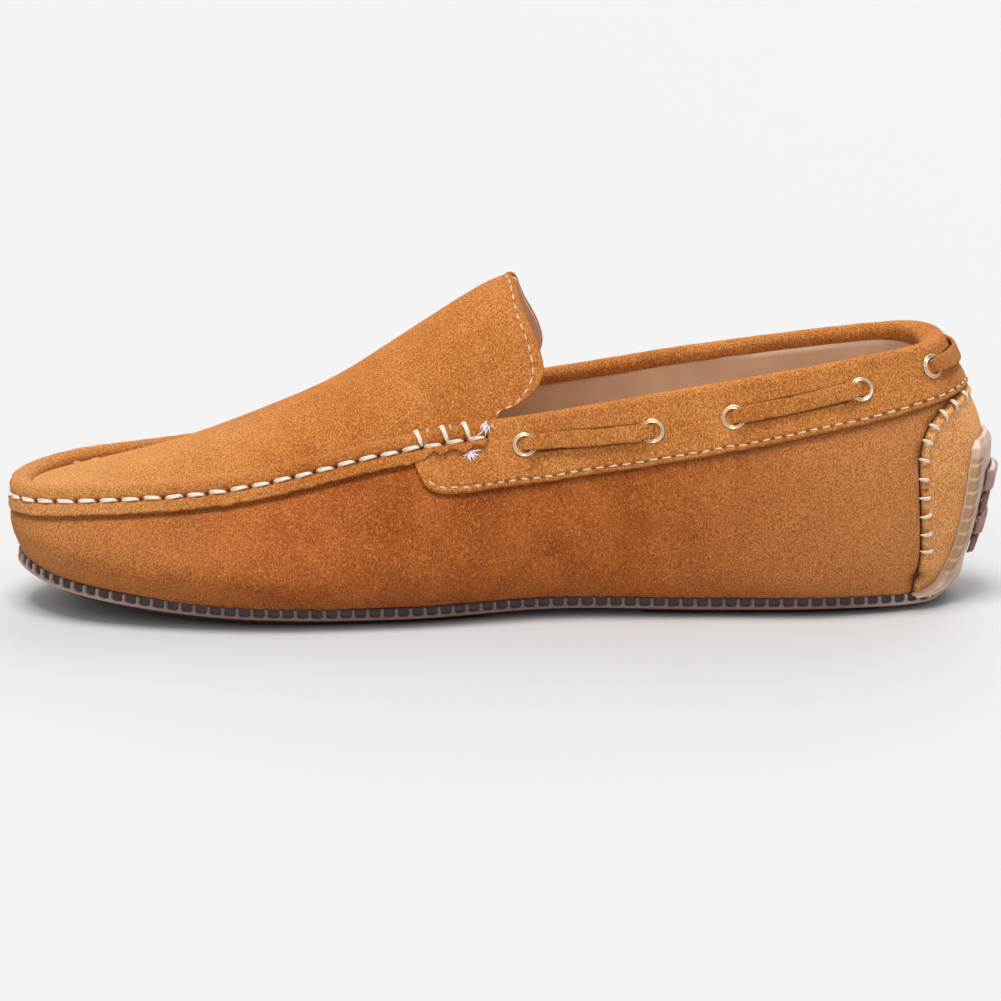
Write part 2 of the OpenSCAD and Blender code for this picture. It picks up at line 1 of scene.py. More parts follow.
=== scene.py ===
"""The looks of a suede driving moccasin (right foot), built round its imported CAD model.

Toe towards -X, inner side towards -Y, ground at z = 0. Shapes are worked out in millimetres.
"""

import math

import bpy
import numpy as np
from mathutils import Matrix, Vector


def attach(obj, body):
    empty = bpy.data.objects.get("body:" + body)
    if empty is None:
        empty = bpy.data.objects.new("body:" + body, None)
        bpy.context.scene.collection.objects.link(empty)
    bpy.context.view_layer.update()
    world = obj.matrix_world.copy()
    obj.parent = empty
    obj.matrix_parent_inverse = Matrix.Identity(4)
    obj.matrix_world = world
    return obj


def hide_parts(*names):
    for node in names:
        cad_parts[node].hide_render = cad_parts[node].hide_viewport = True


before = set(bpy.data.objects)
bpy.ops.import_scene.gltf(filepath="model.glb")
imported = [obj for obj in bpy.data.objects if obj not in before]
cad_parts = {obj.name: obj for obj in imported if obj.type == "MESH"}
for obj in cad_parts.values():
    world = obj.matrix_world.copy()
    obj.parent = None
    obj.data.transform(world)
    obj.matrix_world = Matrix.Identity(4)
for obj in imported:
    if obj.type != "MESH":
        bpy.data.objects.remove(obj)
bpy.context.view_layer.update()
MM = 0.001
rng = np.random.default_rng(7)

# ---- the surface of the upper, as in the CAD model --------------------------

# Stations of four rings from the heel to the toe: place along, half width, height
FEATHER = [[134, 0, 9], [124.5, 18, 5.4], [98, 27, 5.4], [60, 29.5, 5.5], [15, 31, 5.8],
           [-30, 40.5, 5.4], [-80, 41.5, 6.8], [-123, 28, 11.5], [-141.2, 0, 16]]
LOW = [[139.5, 0, 29], [130, 20, 22], [98, 33, 15], [60, 35, 15], [15, 38, 16],
       [-30, 47, 14], [-80, 47.5, 16], [-127, 31, 20], [-143.8, 0, 23]]
HIGH = [[141.7, 0, 52], [131, 21, 50], [98, 33.5, 44], [60, 35.5, 42], [15, 38, 38],
        [-30, 44, 32], [-80, 42, 28], [-127.5, 30, 27.5], [-144.2, 0, 28.5]]
TOP = [[128.3, 0, 79.5], [121.3, 18, 79], [95, 25.5, 75], [58, 30, 69], [18, 31, 62],
       [-28, 32, 55], [-80, 31.5, 43.5], [-128, 22.5, 39.6], [-142, 0, 38.6]]
# The apron's middle line: place along, height
CROWN = [[-145, 35], [-125, 39], [-105, 43.7], [-89, 48.5], [-70, 55.7], [-50, 64.6],
         [-30, 77.2], [-12, 88.8], [-3, 94], [14, 101]]
# The tongue's edge: share of the way to the middle, place along
TONGUE = [[0, -2], [0.09, 0], [0.11, 4.4], [0.14, 8.2], [0.18, 11], [0.23, 12.6], [0.32, 11.5], [0.49, 7.4],
          [0.6, 5.8], [0.83, 4.1], [1, 2.2]]
# The collar band's lower edge: place along, depth below the topline
BAND = [[-23.5, 10.4], [-20, 16.5], [-14, 19.8], [0, 20.5], [60, 20.3], [100, 19.2], [132, 16.5]]
# The heel seam: share of the wall's height, reach round the heel
PANEL = [[0, 0.073], [0.2, 0.077], [0.4, 0.08], [0.55, 0.0825], [0.7, 0.0838], [0.78, 0.0815], [0.83, 0.0775],
         [0.87, 0.0705], [0.9, 0.06], [0.92, 0.043], [0.935, 0.015], [1, 0.001]]
# The heel tab's edge: reach round the heel, share of the height
TAB = [[0, 0.645], [0.02, 0.645], [0.035, 0.64], [0.041, 0.615], [0.045, 0.54], [0.047, 0.4],
       [0.0485, 0.22], [0.0505, 0.1], [0.054, 0.045], [0.062, 0.02], [0.075, 0], [0.5, 0]]
EYELETS = [8.2, 43.8, 66.3, 102.6, 122]
# The lace and its eyelets: place along, depth below the topline
DROP = [[-130, 8.9], [8, 8.9], [44, 10.6], [66, 10.5], [103, 9.2], [122, 7.2], [131, 7.2]]
SUEDE = 1.3
GAP = 0.05
OUTSIDE = SUEDE + GAP
STITCH_DROP = 5.3
LAP_DROP = 9.4
HAND_PITCH = 6.4
FIRST_STITCH = 3.4
HEEL_PUFF = 3.6
THROAT_X = -3
BAND_X = -23
BAND_RANGE = (-23.5, 132)


def curve(table, x):
    """A smooth curve through a table of (x, y)."""
    table = np.asarray(table, float)
    x = np.asarray(x, float)
    tx, ty = table[:, 0], table[:, 1]
    up, down = np.append(tx[1:], tx[-1]), np.append(tx[0], tx[:-1])
    slope = (np.append(ty[1:], ty[-1]) - np.append(ty[0], ty[:-1])) / (up - down)
    i = np.clip(np.searchsorted(tx, x, "right") - 1, 0, len(tx) - 2)
    h = tx[i + 1] - tx[i]
    f = (x - tx[i]) / h
    return ((2 * f**3 - 3 * f**2 + 1) * ty[i] + (f**3 - 2 * f**2 + f) * h * slope[i]
            + (3 * f**2 - 2 * f**3) * ty[i + 1] + (f**3 - f**2) * h * slope[i + 1])


def smooth(x):
    x = np.clip(x, 0, 1)
    return x * x * (3 - 2 * x)


def bump(x, width):
    return np.exp(-((np.asarray(x, float) / width) ** 2))


def through(a, b, c, d, f):
    return 0.5 * (2 * b + (c - a) * f + (2 * a - 5 * b + 4 * c - d) * f**2 + (3 * b - 3 * c + d - a) * f**3)


def spine(x):
    x = np.asarray(x, float)
    return 2.5 * np.exp(-(((x - 15) / 50) ** 2)) - 8 * (np.maximum(0, -x - 20) / 125) ** 2


def ring_points(table):
    """A ring's stations all the way round: inner side, toe, outer side."""
    rows = [[x, -y, z] for x, y, z in table] + [[x, y, z] for x, y, z in table[-2:0:-1]]
    return np.array(rows, float)


RINGS = {name: ring_points(tab) for name, tab in
         (("feather", FEATHER), ("low", LOW), ("high", HIGH), ("top", TOP))}


def ring(name, t):
    p = RINGS[name]
    n = len(p)
    q = np.asarray(t, float) * n
    i = np.floor(q).astype(int)
    f = (q - i)[..., None]
    r = through(p[(i - 1) % n], p[i % n], p[(i + 1) % n], p[(i + 2) % n], f)
    r[..., 1] += spine(r[..., 0])
    return r


def side(t, v):
    t, v = np.broadcast_arrays(np.asarray(t, float), np.asarray(v, float))
    a, b, c, d = (ring(k, t) for k in ("feather", "low", "high", "top"))
    p = np.stack([2 * a - b, a, b, c, d, 2 * d - c])
    i = np.clip(np.floor(v * 3), 0, 2).astype(int)
    f = (v * 3 - i)[..., None]

    def pick(k):
        return np.take_along_axis(p, (i + k)[None, ..., None], 0)[0]
    return through(pick(0), pick(1), pick(2), pick(3), f)


def unit(a):
    return a / np.maximum(np.linalg.norm(a, axis=-1, keepdims=True), 1e-12)


def outward(t, v):
    return unit(np.cross(side(t, v + 0.01) - side(t, v - 0.01), side(t + 0.001, v) - side(t - 0.001, v)))


def off(t, v, n):
    return side(t, v) + np.asarray(n, float)[..., None] * outward(t, v)


def below(t, s):
    return 1 - s / (3 * np.linalg.norm(ring("top", t) - ring("high", t), axis=-1))


def at(t, s, n):
    t, s, n = np.broadcast_arrays(np.asarray(t, float), np.asarray(s, float), np.asarray(n, float))
    up = unit(side(t, 1.0) - side(t, 0.97))
    return off(t, below(t, np.maximum(s, 0)), n) - np.minimum(s, 0)[..., None] * up


def find_t(x, name="top"):
    """Where a ring's inner side passes x."""
    lo, hi = 0.0, 0.5
    for _ in range(30):
        mid = (lo + hi) / 2
        if ring(name, mid)[0] > x:
            lo = mid
        else:
            hi = mid
    return (lo + hi) / 2


def run_length(line):
    """The length along a line of points, up to each of them."""
    return np.concatenate([[0], np.cumsum(np.linalg.norm(np.diff(line, axis=0), axis=1))])


THROAT_T = find_t(THROAT_X)
BAND_T = find_t(BAND_X)
LONG_T = np.linspace(0, 1, 4001)
LONG_S = run_length(ring("top", LONG_T))


def place(t):
    """Millimetres round the topline from the back of the heel to t."""
    t = np.asarray(t, float)
    return np.interp(t % 1.0, LONG_T, LONG_S) + np.floor(t) * LONG_S[-1]


def place_t(s):
    s = np.asarray(s, float)
    return np.interp(s % LONG_S[-1], LONG_S, LONG_T) + np.floor(s / LONG_S[-1])


# ---- mesh helpers -----------------------------------------------------------

LATTICE = (374761393, 668265263, 2147483647)
SCRAMBLE = 1274126177


def noise(p, size, seed=0):
    """Smooth value noise in [-1, 1] at points p (mm), with lumps about size across."""
    q = np.asarray(p, float) / size + seed * 17.31
    i = np.floor(q).astype(np.int64)
    f = q - i
    f = f * f * (3 - 2 * f)
    total = 0
    for corner in np.ndindex(2, 2, 2):
        k = sum((i[..., axis] + corner[axis]) * LATTICE[axis] for axis in range(3))
        k = (k ^ (k >> 13)) * SCRAMBLE
        k = (k ^ (k >> 16)) & 0xFFFF
        w = np.where(corner, f, 1 - f)
        total = total + w[..., 0] * w[..., 1] * w[..., 2] * k
    return total / 32768.0 - 1


def line_noise(s, size, seed=0):
    """Smooth value noise along a length s (mm)."""
    s = np.asarray(s, float)
    return noise(np.stack([s, 0 * s, 0 * s], axis=-1), size, seed)


def add(name, data):
    ob = bpy.data.objects.new(name, data)
    bpy.context.scene.collection.objects.link(ob)
    return ob


def mesh(name, points, faces, material, node=None, tint=None):
    """One piece of the shoe, which stands in for the CAD body called node."""
    me = bpy.data.meshes.new(name)
    me.from_pydata((np.asarray(points, float) * MM).tolist(), [], [tuple(int(k) for k in f) for f in faces])
    me.validate()
    me.polygons.foreach_set("use_smooth", [True] * len(me.polygons))
    ob = add(name, me)
    me.materials.append(material)
    if tint is not None:
        layer = me.attributes.new("tint", "FLOAT", "POINT")
        layer.data.foreach_set("value", np.asarray(tint, float).ravel())
    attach(ob, "root")
    if node:
        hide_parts(node)


def loop_skin(name, grid, material, node):
    """A closed piece from columns of closed sections: grid is (columns, section points, 3)."""
    n, m = grid.shape[:2]
    ids = np.arange(n * m).reshape(n, m)
    nxt = np.roll(ids, -1, axis=1)
    faces = np.stack([ids[:-1], ids[1:], nxt[1:], nxt[:-1]], axis=-1).reshape(-1, 4).tolist()
    faces += [ids[0, ::-1].tolist(), ids[-1].tolist()]
    mesh(name, grid.reshape(-1, 3), faces, material, node)


def sheet(name, outer, inner, material, node=None, round_cols=False, fold=False, tint=None):
    """A closed piece between two grids of points, each (columns, rows, 3).

    fold: the last row is a middle line that both halves share."""
    n, m = outer.shape[:2]
    ids = np.arange(n * m).reshape(n, m)
    if fold:
        back = (n - np.arange(n)) % n if round_cols else n - 1 - np.arange(n)
        ids[:, -1] = ids[np.minimum(np.arange(n), back), -1]
    low = ids + n * m
    nxt = np.roll(ids, -1, axis=0) if round_cols else ids[1:]
    nxt_low = np.roll(low, -1, axis=0) if round_cols else low[1:]
    cur, cur_low = (ids, low) if round_cols else (ids[:-1], low[:-1])

    def quads(a, b, c, d):
        return np.stack([a, b, c, d], axis=-1).reshape(-1, 4)
    faces = [quads(cur[:, :-1], nxt[:, :-1], nxt[:, 1:], cur[:, 1:]),
             quads(cur_low[:, :-1], cur_low[:, 1:], nxt_low[:, 1:], nxt_low[:, :-1]),
             quads(cur[:, 0], cur_low[:, 0], nxt_low[:, 0], nxt[:, 0])]
    if not fold:
        faces.append(quads(nxt[:, -1], nxt_low[:, -1], cur_low[:, -1], cur[:, -1]))
    if not round_cols:
        faces.append(quads(ids[0, 1:], low[0, 1:], low[0, :-1], ids[0, :-1]))
        faces.append(quads(ids[-1, :-1], low[-1, :-1], low[-1, 1:], ids[-1, 1:]))
    faces = [list(dict.fromkeys(f)) for f in np.concatenate(faces).tolist()]
    faces = [f for f in faces if len(f) > 2]
    points = np.concatenate([outer.reshape(-1, 3), inner.reshape(-1, 3)])
    used = np.unique(np.concatenate([np.array(f) for f in faces]))
    renum = np.full(len(points), -1)
    renum[used] = np.arange(len(used))
    faces = [[int(renum[k]) for k in f] for f in faces]
    if tint is not None:
        tint = np.tile(tint.ravel(), 2)[used]
    mesh(name, points[used], faces, material, node, tint)


def tube(path, radius, sides=8, taper=None):
    """Points and faces of a closed round tube along a path (n, 3)."""
    path = np.asarray(path, float)
    n = len(path)
    tangent = unit(np.gradient(path, axis=0))
    ref = np.array([0, 0, 1.0]) if abs(tangent[:, 2]).mean() < 0.8 else np.array([1.0, 0, 0])
    across = unit(np.cross(tangent, ref))
    up = np.cross(across, tangent)
    r = np.broadcast_to(np.asarray(radius, float), (n,)) * (1 if taper is None else taper)
    a = np.linspace(0, 2 * math.pi, sides, endpoint=False)
    spoke = across[:, None] * np.cos(a)[None, :, None] + up[:, None] * np.sin(a)[None, :, None]
    pts = (path[:, None] + spoke * r[:, None, None]).reshape(-1, 3)
    ids = np.arange(n * sides).reshape(n, sides)
    nxt = np.roll(ids, -1, axis=1)
    faces = np.stack([ids[:-1], nxt[:-1], nxt[1:], ids[1:]], axis=-1).reshape(-1, 4).tolist()
    faces += [ids[0].tolist()[::-1], ids[-1].tolist()]
    return pts, faces


def many(name, parts, material, node):
    """One piece from a list of (points, faces)."""
    points, faces, base = [], [], 0
    for p, f in parts:
        points.append(p)
        faces += [[k + base for k in face] for face in f]
        base += len(p)
    mesh(name, np.concatenate(points), faces, material, node)


# ---- materials --------------------------------------------------------------


class Nodes:
    """Builds a node material step by step."""

    def __init__(self, name):
        self.mat = bpy.data.materials.new(name)
        self.mat.use_nodes = True
        self.tree = self.mat.node_tree
        self.shader = self.tree.nodes["Principled BSDF"]
        self.coords = self.new("TexCoord").outputs["Object"]

    def new(self, kind):
        return self.tree.nodes.new("ShaderNode" + kind)

    def put(self, socket, x):
        """Links a socket to an output, or sets it to a colour or number."""
        if hasattr(x, "is_linked"):
            self.tree.links.new(x, socket)
        elif socket.type == "RGBA":
            socket.default_value = (*x[:3], 1)
        else:
            socket.default_value = x

    def noise(self, size_mm, detail=3, rough=0.55, stretch=None):
        node = self.new("TexNoise")
        node.inputs["Scale"].default_value = 1 / (size_mm * MM)
        node.inputs["Detail"].default_value = detail
        node.inputs["Roughness"].default_value = rough
        vector = self.coords
        if stretch:
            mapping = self.new("Mapping")
            mapping.inputs["Scale"].default_value = stretch
            self.put(mapping.inputs["Vector"], vector)
            vector = mapping.outputs["Vector"]
        self.put(node.inputs["Vector"], vector)
        return node.outputs["Fac"]

    def ramp(self, value, stops):
        node = self.new("ValToRGB")
        els = node.color_ramp.elements
        while len(els) < len(stops):
            els.new(0.5)
        for el, (pos, col) in zip(els, stops):
            el.position = pos
            el.color = (*col, 1)
        self.put(node.inputs["Fac"], value)
        return node.outputs["Color"]

    def levels(self, value, low, high, out_low=0.0, out_high=1.0):
        node = self.new("MapRange")
        for key, x in zip(("From Min", "From Max", "To Min", "To Max"), (low, high, out_low, out_high)):
            node.inputs[key].default_value = x
        self.put(node.inputs["Value"], value)
        return node.outputs["Result"]

    def mix(self, a, b, fac, mode="MIX"):
        node = self.new("Mix")
        node.data_type = "RGBA"
        node.blend_type = mode
        # A mix of colours has its two colours at inputs 6 and 7
        for key, x in (("Factor", fac), (6, a), (7, b)):
            self.put(node.inputs[key], x)
        return node.outputs[2]

    def along(self):
        """Place along the shoe, in metres."""
        node = self.new("SeparateXYZ")
        self.put(node.inputs["Vector"], self.coords)
        return node.outputs["X"]

    def attribute(self, name):
        node = self.new("Attribute")
        node.attribute_name = name
        return node.outputs["Fac"]

    def bump(self, height, distance_mm, strength=1.0, under=None):
        node = self.new("Bump")
        node.inputs["Distance"].default_value = distance_mm * MM
        node.inputs["Strength"].default_value = strength
        self.put(node.inputs["Height"], height)
        if under is not None:
            self.put(node.inputs["Normal"], under)
        return node.outputs["Normal"]

    def finish(self, color, normal, **values):
        self.put(self.shader.inputs["Base Color"], color)
        self.put(self.shader.inputs["Normal"], normal)
        for key, x in values.items():
            self.put(self.shader.inputs[key.replace("_", " ").title().replace("Ior", "IOR")], x)
        return self.mat


def suede(name, base, mottle, ends=None):
    """Brushed nap: soft patches, a fine grain and pale fibre ends.

    ends: lighter colours towards the toe and the heel, painted light that stands in for the shade over the
    middle of the shoe. The mesh's tint is painted shade: it darkens holes, creases, seam gaps and the leather
    under overhanging pieces and the lace, and it draws a darker line along the band's raw edge."""
    n = Nodes(name)
    base = np.array(base)
    patches = n.noise(17, detail=5, rough=0.62)
    warm = np.array([1.0, 0.86, 0.72])
    color = n.mix(tuple(base * (1 - 0.25 * mottle) * warm), tuple(base * (1 + 0.30 * mottle)),
                  n.levels(patches, 0.34, 0.66))
    # painted light: the colour grows lighter towards the toe and the heel, standing in for the shade over the
    # middle of the shoe
    if ends is not None:
        color = n.mix(color, ends[0], n.levels(n.along(), -0.06, -0.14, 0, 0.85))
        color = n.mix(color, ends[1], n.levels(n.along(), 0.04, 0.115, 0, 0.9))
    grain = n.noise(0.48, detail=4, rough=0.85)
    stops = [(0.40, (0.56, 0.38, 0.28)), (0.5, (1, 1, 1)), (0.60, (1.46, 1.64, 1.78))]
    color = n.mix(color, n.ramp(grain, stops), 1.0, "MULTIPLY")
    fibres = n.noise(0.5, detail=1, rough=0.5, stretch=(1, 1, 0.5))
    pale = np.minimum(base * 1.5 + np.array([0.09, 0.09, 0.04]), 1)
    color = n.mix(color, tuple(pale), n.levels(fibres, 0.58, 0.70, 0, 0.75))
    # painted shade: the suede turns dark brown where the mesh's tint is high
    color = n.mix(color, tuple(base * np.array([0.20, 0.13, 0.12])), n.attribute("tint"))
    normal = n.bump(grain, 0.5, 1.0)
    normal = n.bump(n.noise(3.2, detail=4), 0.35, 0.6, normal)
    return n.finish(color, normal, roughness=0.95, sheen_weight=0.1, sheen_roughness=0.5,
                    sheen_tint=(1.0, 0.62, 0.34, 1), specular_ior_level=0.1)


def leather(name, base, rough=0.42):
    n = Nodes(name)
    base = np.array(base)
    tone = n.noise(22, detail=3)
    color = n.mix(tuple(base * 0.9), tuple(base * 1.1), n.levels(tone, 0.35, 0.65))
    pores = n.noise(0.45, detail=2)
    color = n.mix(color, n.ramp(pores, [(0.3, (0.9,) * 3), (0.6, (1.03,) * 3)]), 1.0, "MULTIPLY")
    normal = n.bump(pores, 0.05, 0.6)
    normal = n.bump(n.noise(2.4, detail=4), 0.10, 0.5, normal)
    return n.finish(color, normal, roughness=rough, specular_ior_level=0.4)


def thread(name, base):
    n = Nodes(name)
    base = np.array(base)
    strands = n.noise(0.35, detail=2, stretch=(0.4, 1, 1))
    color = n.mix(tuple(base * 0.72), tuple(base), n.levels(strands, 0.3, 0.6))
    return n.finish(color, n.bump(strands, 0.12, 0.8), roughness=0.75, sheen_weight=0.15)


def rubber(name, base, pocket=None, rough=0.3, subsurface=0.5, coat=0.3, ends=None):
    n = Nodes(name)
    base = np.array(base)
    cloud = n.noise(7, detail=3)
    color = n.mix(tuple(base * 0.9), tuple(base * 1.08), n.levels(cloud, 0.35, 0.65))
    if ends is not None:
        color = n.mix(color, ends, n.levels(n.along(), -0.085, -0.138, 0, 0.7))
        color = n.mix(color, ends, n.levels(n.along(), 0.100, 0.128, 0, 0.9))
    if pocket is not None:
        color = n.mix(color, pocket, n.attribute("tint"))
    normal = n.bump(n.noise(1.4, detail=3), 0.05, 0.4)
    return n.finish(color, normal, roughness=rough, subsurface_weight=subsurface, subsurface_scale=0.003,
                    subsurface_radius=(1.0, 0.6, 0.4), coat_weight=coat, coat_roughness=0.15)


def metal(name, base):
    n = Nodes(name)
    scratch = n.noise(0.5, detail=3)
    return n.finish(base, n.bump(scratch, 0.01, 0.3), metallic=1.0,
                    roughness=n.levels(scratch, 0.3, 0.7, 0.22, 0.36))


# One suede throughout. Painted shade: the apron's seam roll (ridge) is a darker copy of the apron's suede,
# for its steep face. The wall's darker and the heel panel's lighter colours are partly the suede's tone,
# partly painted shade and painted light.
M = {
    "wall": suede("suede_wall", (0.44, 0.122, 0.026), mottle=0.75,
                  ends=((0.56, 0.225, 0.066), (0.64, 0.255, 0.078))),
    "heel": suede("suede_heel", (0.90, 0.42, 0.155), mottle=0.45),
    "apron": suede("suede_apron", (0.56, 0.205, 0.048), mottle=0.35,
                  ends=((0.68, 0.32, 0.105), (0.56, 0.205, 0.048))),
    "ridge": suede("suede_ridge_shaded", (0.50, 0.175, 0.040), mottle=0.4,
                  ends=((0.64, 0.28, 0.090), (0.50, 0.175, 0.040))),
    "band": suede("suede_band", (0.58, 0.220, 0.056), mottle=0.4),
    "lace": suede("lace_suede", (0.52, 0.195, 0.048), mottle=0.3),
    "lining": leather("lining_leather", (0.78, 0.55, 0.38)),
    "tongue_lining": leather("tongue_lining_leather", (0.90, 0.56, 0.42)),
    "sock": leather("sock_leather", (0.72, 0.48, 0.32), rough=0.5),
    "thread": thread("thread_cream", (0.88, 0.76, 0.62)),
    "fine_thread": thread("thread_fine", (0.82, 0.67, 0.50)),
    "tack_thread": thread("thread_tack", (0.92, 0.84, 0.84)),
    "clear": rubber("rubber_clear", (0.19, 0.115, 0.098), pocket=(0.034, 0.016, 0.017),
                    subsurface=0.2, coat=0.1, ends=(0.48, 0.35, 0.29)),
    "tab": rubber("rubber_tab", (0.56, 0.385, 0.285), pocket=(0.46, 0.25, 0.10),
                  subsurface=0.4, rough=0.38, coat=0.05),
    "brown": rubber("rubber_brown", (0.050, 0.021, 0.016), subsurface=0.1, rough=0.38, coat=0.1),
    "block": rubber("rubber_block", (0.38, 0.22, 0.18), subsurface=0.4, rough=0.25, coat=0.3),
    "block_dark": rubber("rubber_block_dark", (0.22, 0.085, 0.050), subsurface=0.3, rough=0.3, coat=0.2),
    "board": leather("board_fibre", (0.55, 0.42, 0.30), rough=0.85),
    "foam": leather("foam_cream", (0.80, 0.72, 0.52), rough=0.9),
    "counter": leather("counter_fibre", (0.20, 0.20, 0.20), rough=0.8),
    "piping": thread("piping_cotton", (0.75, 0.68, 0.52)),
    "brass": metal("pale_gold", (0.82, 0.65, 0.44)),
}

# ---- sole -------------------------------------------------------------------

SOLE_T = 3.2
RIM_OUT = 1.1
TAB_T = 2.9
TREAD_T = 2.4
RIB_PITCH = 2.4
HEEL_RISE = 2.6


def outline(t, out, up):
    d = ring("feather", t + 0.001) - ring("feather", t - 0.001)
    n = unit(np.stack([-d[..., 1], d[..., 0], 0 * d[..., 0]], axis=-1))
    p = ring("feather", t) + np.asarray(out, float)[..., None] * n
    p[..., 2] += up
    return p


def half_turn(t):
    t = np.asarray(t, float) % 1.0
    return np.minimum(t, 1 - t)


def heel_part(t):
    return smooth((0.085 - half_turn(t)) / 0.08)


POCKET_PITCH = 4.2


def make_outsole():
    """The clear cup: a plate and a rim with a row of pockets open at the top."""
    s_long = run_length(outline(LONG_T, 1.0, 0))
    total = s_long[-1]
    count = round(total / POCKET_PITCH)
    columns_each = 14
    s = np.linspace(0, total, count * columns_each, endpoint=False)
    t = np.interp(s, s_long, LONG_T)
    in_pocket = np.abs((s / total * count) % 1.0 - 0.5)
    heel = heel_part(t)
    low = 0.93 * SOLE_T + HEEL_RISE * heel
    rows = np.array([0.0, 0.05, 0.14, 0.24, 0.3, 0.36, 0.42, 0.48, 0.56, 0.66, 0.78, 0.88, 0.95, 0.985, 1.0])
    w = -1 + rows
    half_wide = 0.43
    arch = -0.78 + 0.30 * (in_pocket / half_wide) ** 4
    edge_x = smooth((half_wide - in_pocket) / 0.07)
    # no pockets behind the heel, where the tab covers the rim
    depth = 1 - smooth((0.067 - half_turn(t)) / 0.02)
    mask = edge_x[:, None] * smooth((w[None, :] - arch[:, None]) / 0.09)
    out_n = (RIM_OUT + 2 * heel)[:, None] - 5 * heel[:, None] * w[None, :] ** 2
    bulge = 0.18 * np.sin(np.pi * rows)[None, :]
    lip = 0.25 * smooth((0.30 - rows) / 0.12)[None, :]
    rim = [outline(t, out_n[:, j] + bulge[:, j] + lip[:, j] - depth * mask[:, j], w[j] * low - GAP)
           for j in range(len(rows))]
    edge = outline(t, RIM_OUT - 0.7 - 4 * heel, -(SOLE_T + HEEL_RISE * heel**3))
    mirror = np.interp((total - s) % total, s_long, LONG_T)
    heel_x, toe_x = FEATHER[2][0], FEATHER[-2][0]

    def middle(up):
        """The sole's middle line, drawn in from both ends."""
        p = (outline(t, 0, up) + outline(mirror, 0, up)) / 2
        x = p[:, 0].copy()
        p[:, 0] = np.where(x > heel_x, heel_x + (x - heel_x) * 0.62,
                           np.where(x < toe_x, toe_x + (x - toe_x) * 0.8, x))
        p[:, 2] = np.where(x > heel_x, FEATHER[2][2] + up, p[:, 2])
        return p
    centre = middle(-SOLE_T)
    top_in, top_mid = outline(t, -1.4, -GAP), middle(-GAP)
    inner = [outline(t, -0.2 - 0.02 * k, -GAP) for k in range(len(rows))]
    outer_all = np.stack(rim[::-1] + [edge, edge * 0.5 + centre * 0.5, centre], axis=1)
    inner_all = np.stack(inner + [top_in, (top_in + top_mid) / 2, top_mid], axis=1)
    tint = np.zeros(outer_all.shape[:2])
    tint[:, :len(rows)] = mask[:, ::-1] * (depth[:, None] > 0.3)
    sheet("outsole_clear", outer_all, inner_all, M["clear"], "outsole", round_cols=True,
          fold=True, tint=tint)


TAB_TOP = 0.64
RUNG_PITCH = 4.1


def tab_edge(v):
    """How far round the heel the tab reaches at height v."""
    reach = np.array([[r, h] for r, h in TAB[::-1] if r < 0.08])
    return np.interp(v, reach[:, 1], reach[:, 0])


def make_heel_tab():
    """The clear tab up the back of the heel, with a ladder of amber pockets along each edge."""
    g = np.linspace(-1, 1, 161)
    v = np.linspace(-0.01, TAB_TOP, 190)
    reach = tab_edge(v)
    t = reach[None, :] * np.sign(g)[:, None] * np.abs(g)[:, None] ** 0.8
    vv = np.broadcast_to(v, t.shape)
    edge_line = off(reach, v, 0 * v)
    from_edge = np.linalg.norm(off(np.abs(t), vv, 0 * t) - edge_line[None], axis=-1)
    climb = run_length(edge_line)
    ladder = (climb / RUNG_PITCH) % 1.0 - 0.5
    rung = smooth((0.42 - np.abs(ladder)) / 0.07)
    in_ladder = smooth((from_edge - 0.1) / 0.3) * smooth((3.7 - from_edge) / 0.35)
    zone = smooth((v - 0.02) / 0.1) * smooth((0.585 - v) / 0.01)
    mask = in_ladder * (rung * zone)[None, :]
    round_edge = 1 - (1 - smooth(from_edge / 1.2)) ** 2
    top = smooth((TAB_TOP - v) / 0.03)
    ridge = 0.5 * bump(from_edge - 4.6, 0.5)
    n = 0.35 + (TAB_T - 0.6) * round_edge * (0.5 + 0.5 * top)[None, :] - 0.45 * mask + ridge
    n = n + 0.4 * smooth((0.10 - v) / 0.08)[None, :]
    outer = off(t, vv, n)
    inner = off(t, vv, np.full_like(t, GAP))
    sheet("heel_tab_clear", outer, inner, M["tab"], tint=mask)


def across(t, inset, rows, up):
    """Rows of points over the shoe's bottom, from its inner edge at t to the outer one."""
    a, b = outline(t, -inset, up), outline(1 - t, -inset, up)
    f = np.linspace(0, 1, rows)[None, :, None]
    return a[:, None] * (1 - f) + b[:, None] * f


def make_tread(node, x_front, x_back, cols, rows):
    """Brown tread: fine cross ribs that show as small teeth along its edge."""
    t = np.linspace(find_t(x_back, "feather"), find_t(x_front, "feather"), cols)
    top = across(t, 3, rows, -SOLE_T - GAP)
    low = top.copy()
    low[..., 2] = np.maximum(0, low[..., 2] - TREAD_T)
    # wavy ribs, which fade out over three rows at the rounded sides
    wave = 0.5 + 0.5 * np.sin(2 * np.pi * (low[..., 0] + 1.2 * np.sin(low[..., 1] / 5)) / RIB_PITCH)
    border = smooth(np.minimum(np.arange(rows), np.arange(rows)[::-1]) / 3)[None, :]
    low[..., 2] += 0.45 * (1 - wave) * border + 0.5 * (1 - border)
    low[..., 2] = np.maximum(low[..., 2], 0)
    sheet(f"{node}_ribbed", top, low, M["brown"], node)


BLOCK_LOW, BLOCK_PITCH, BLOCK_HIGH, BLOCK_REACH = 0.14, 0.098, 0.082, 0.027


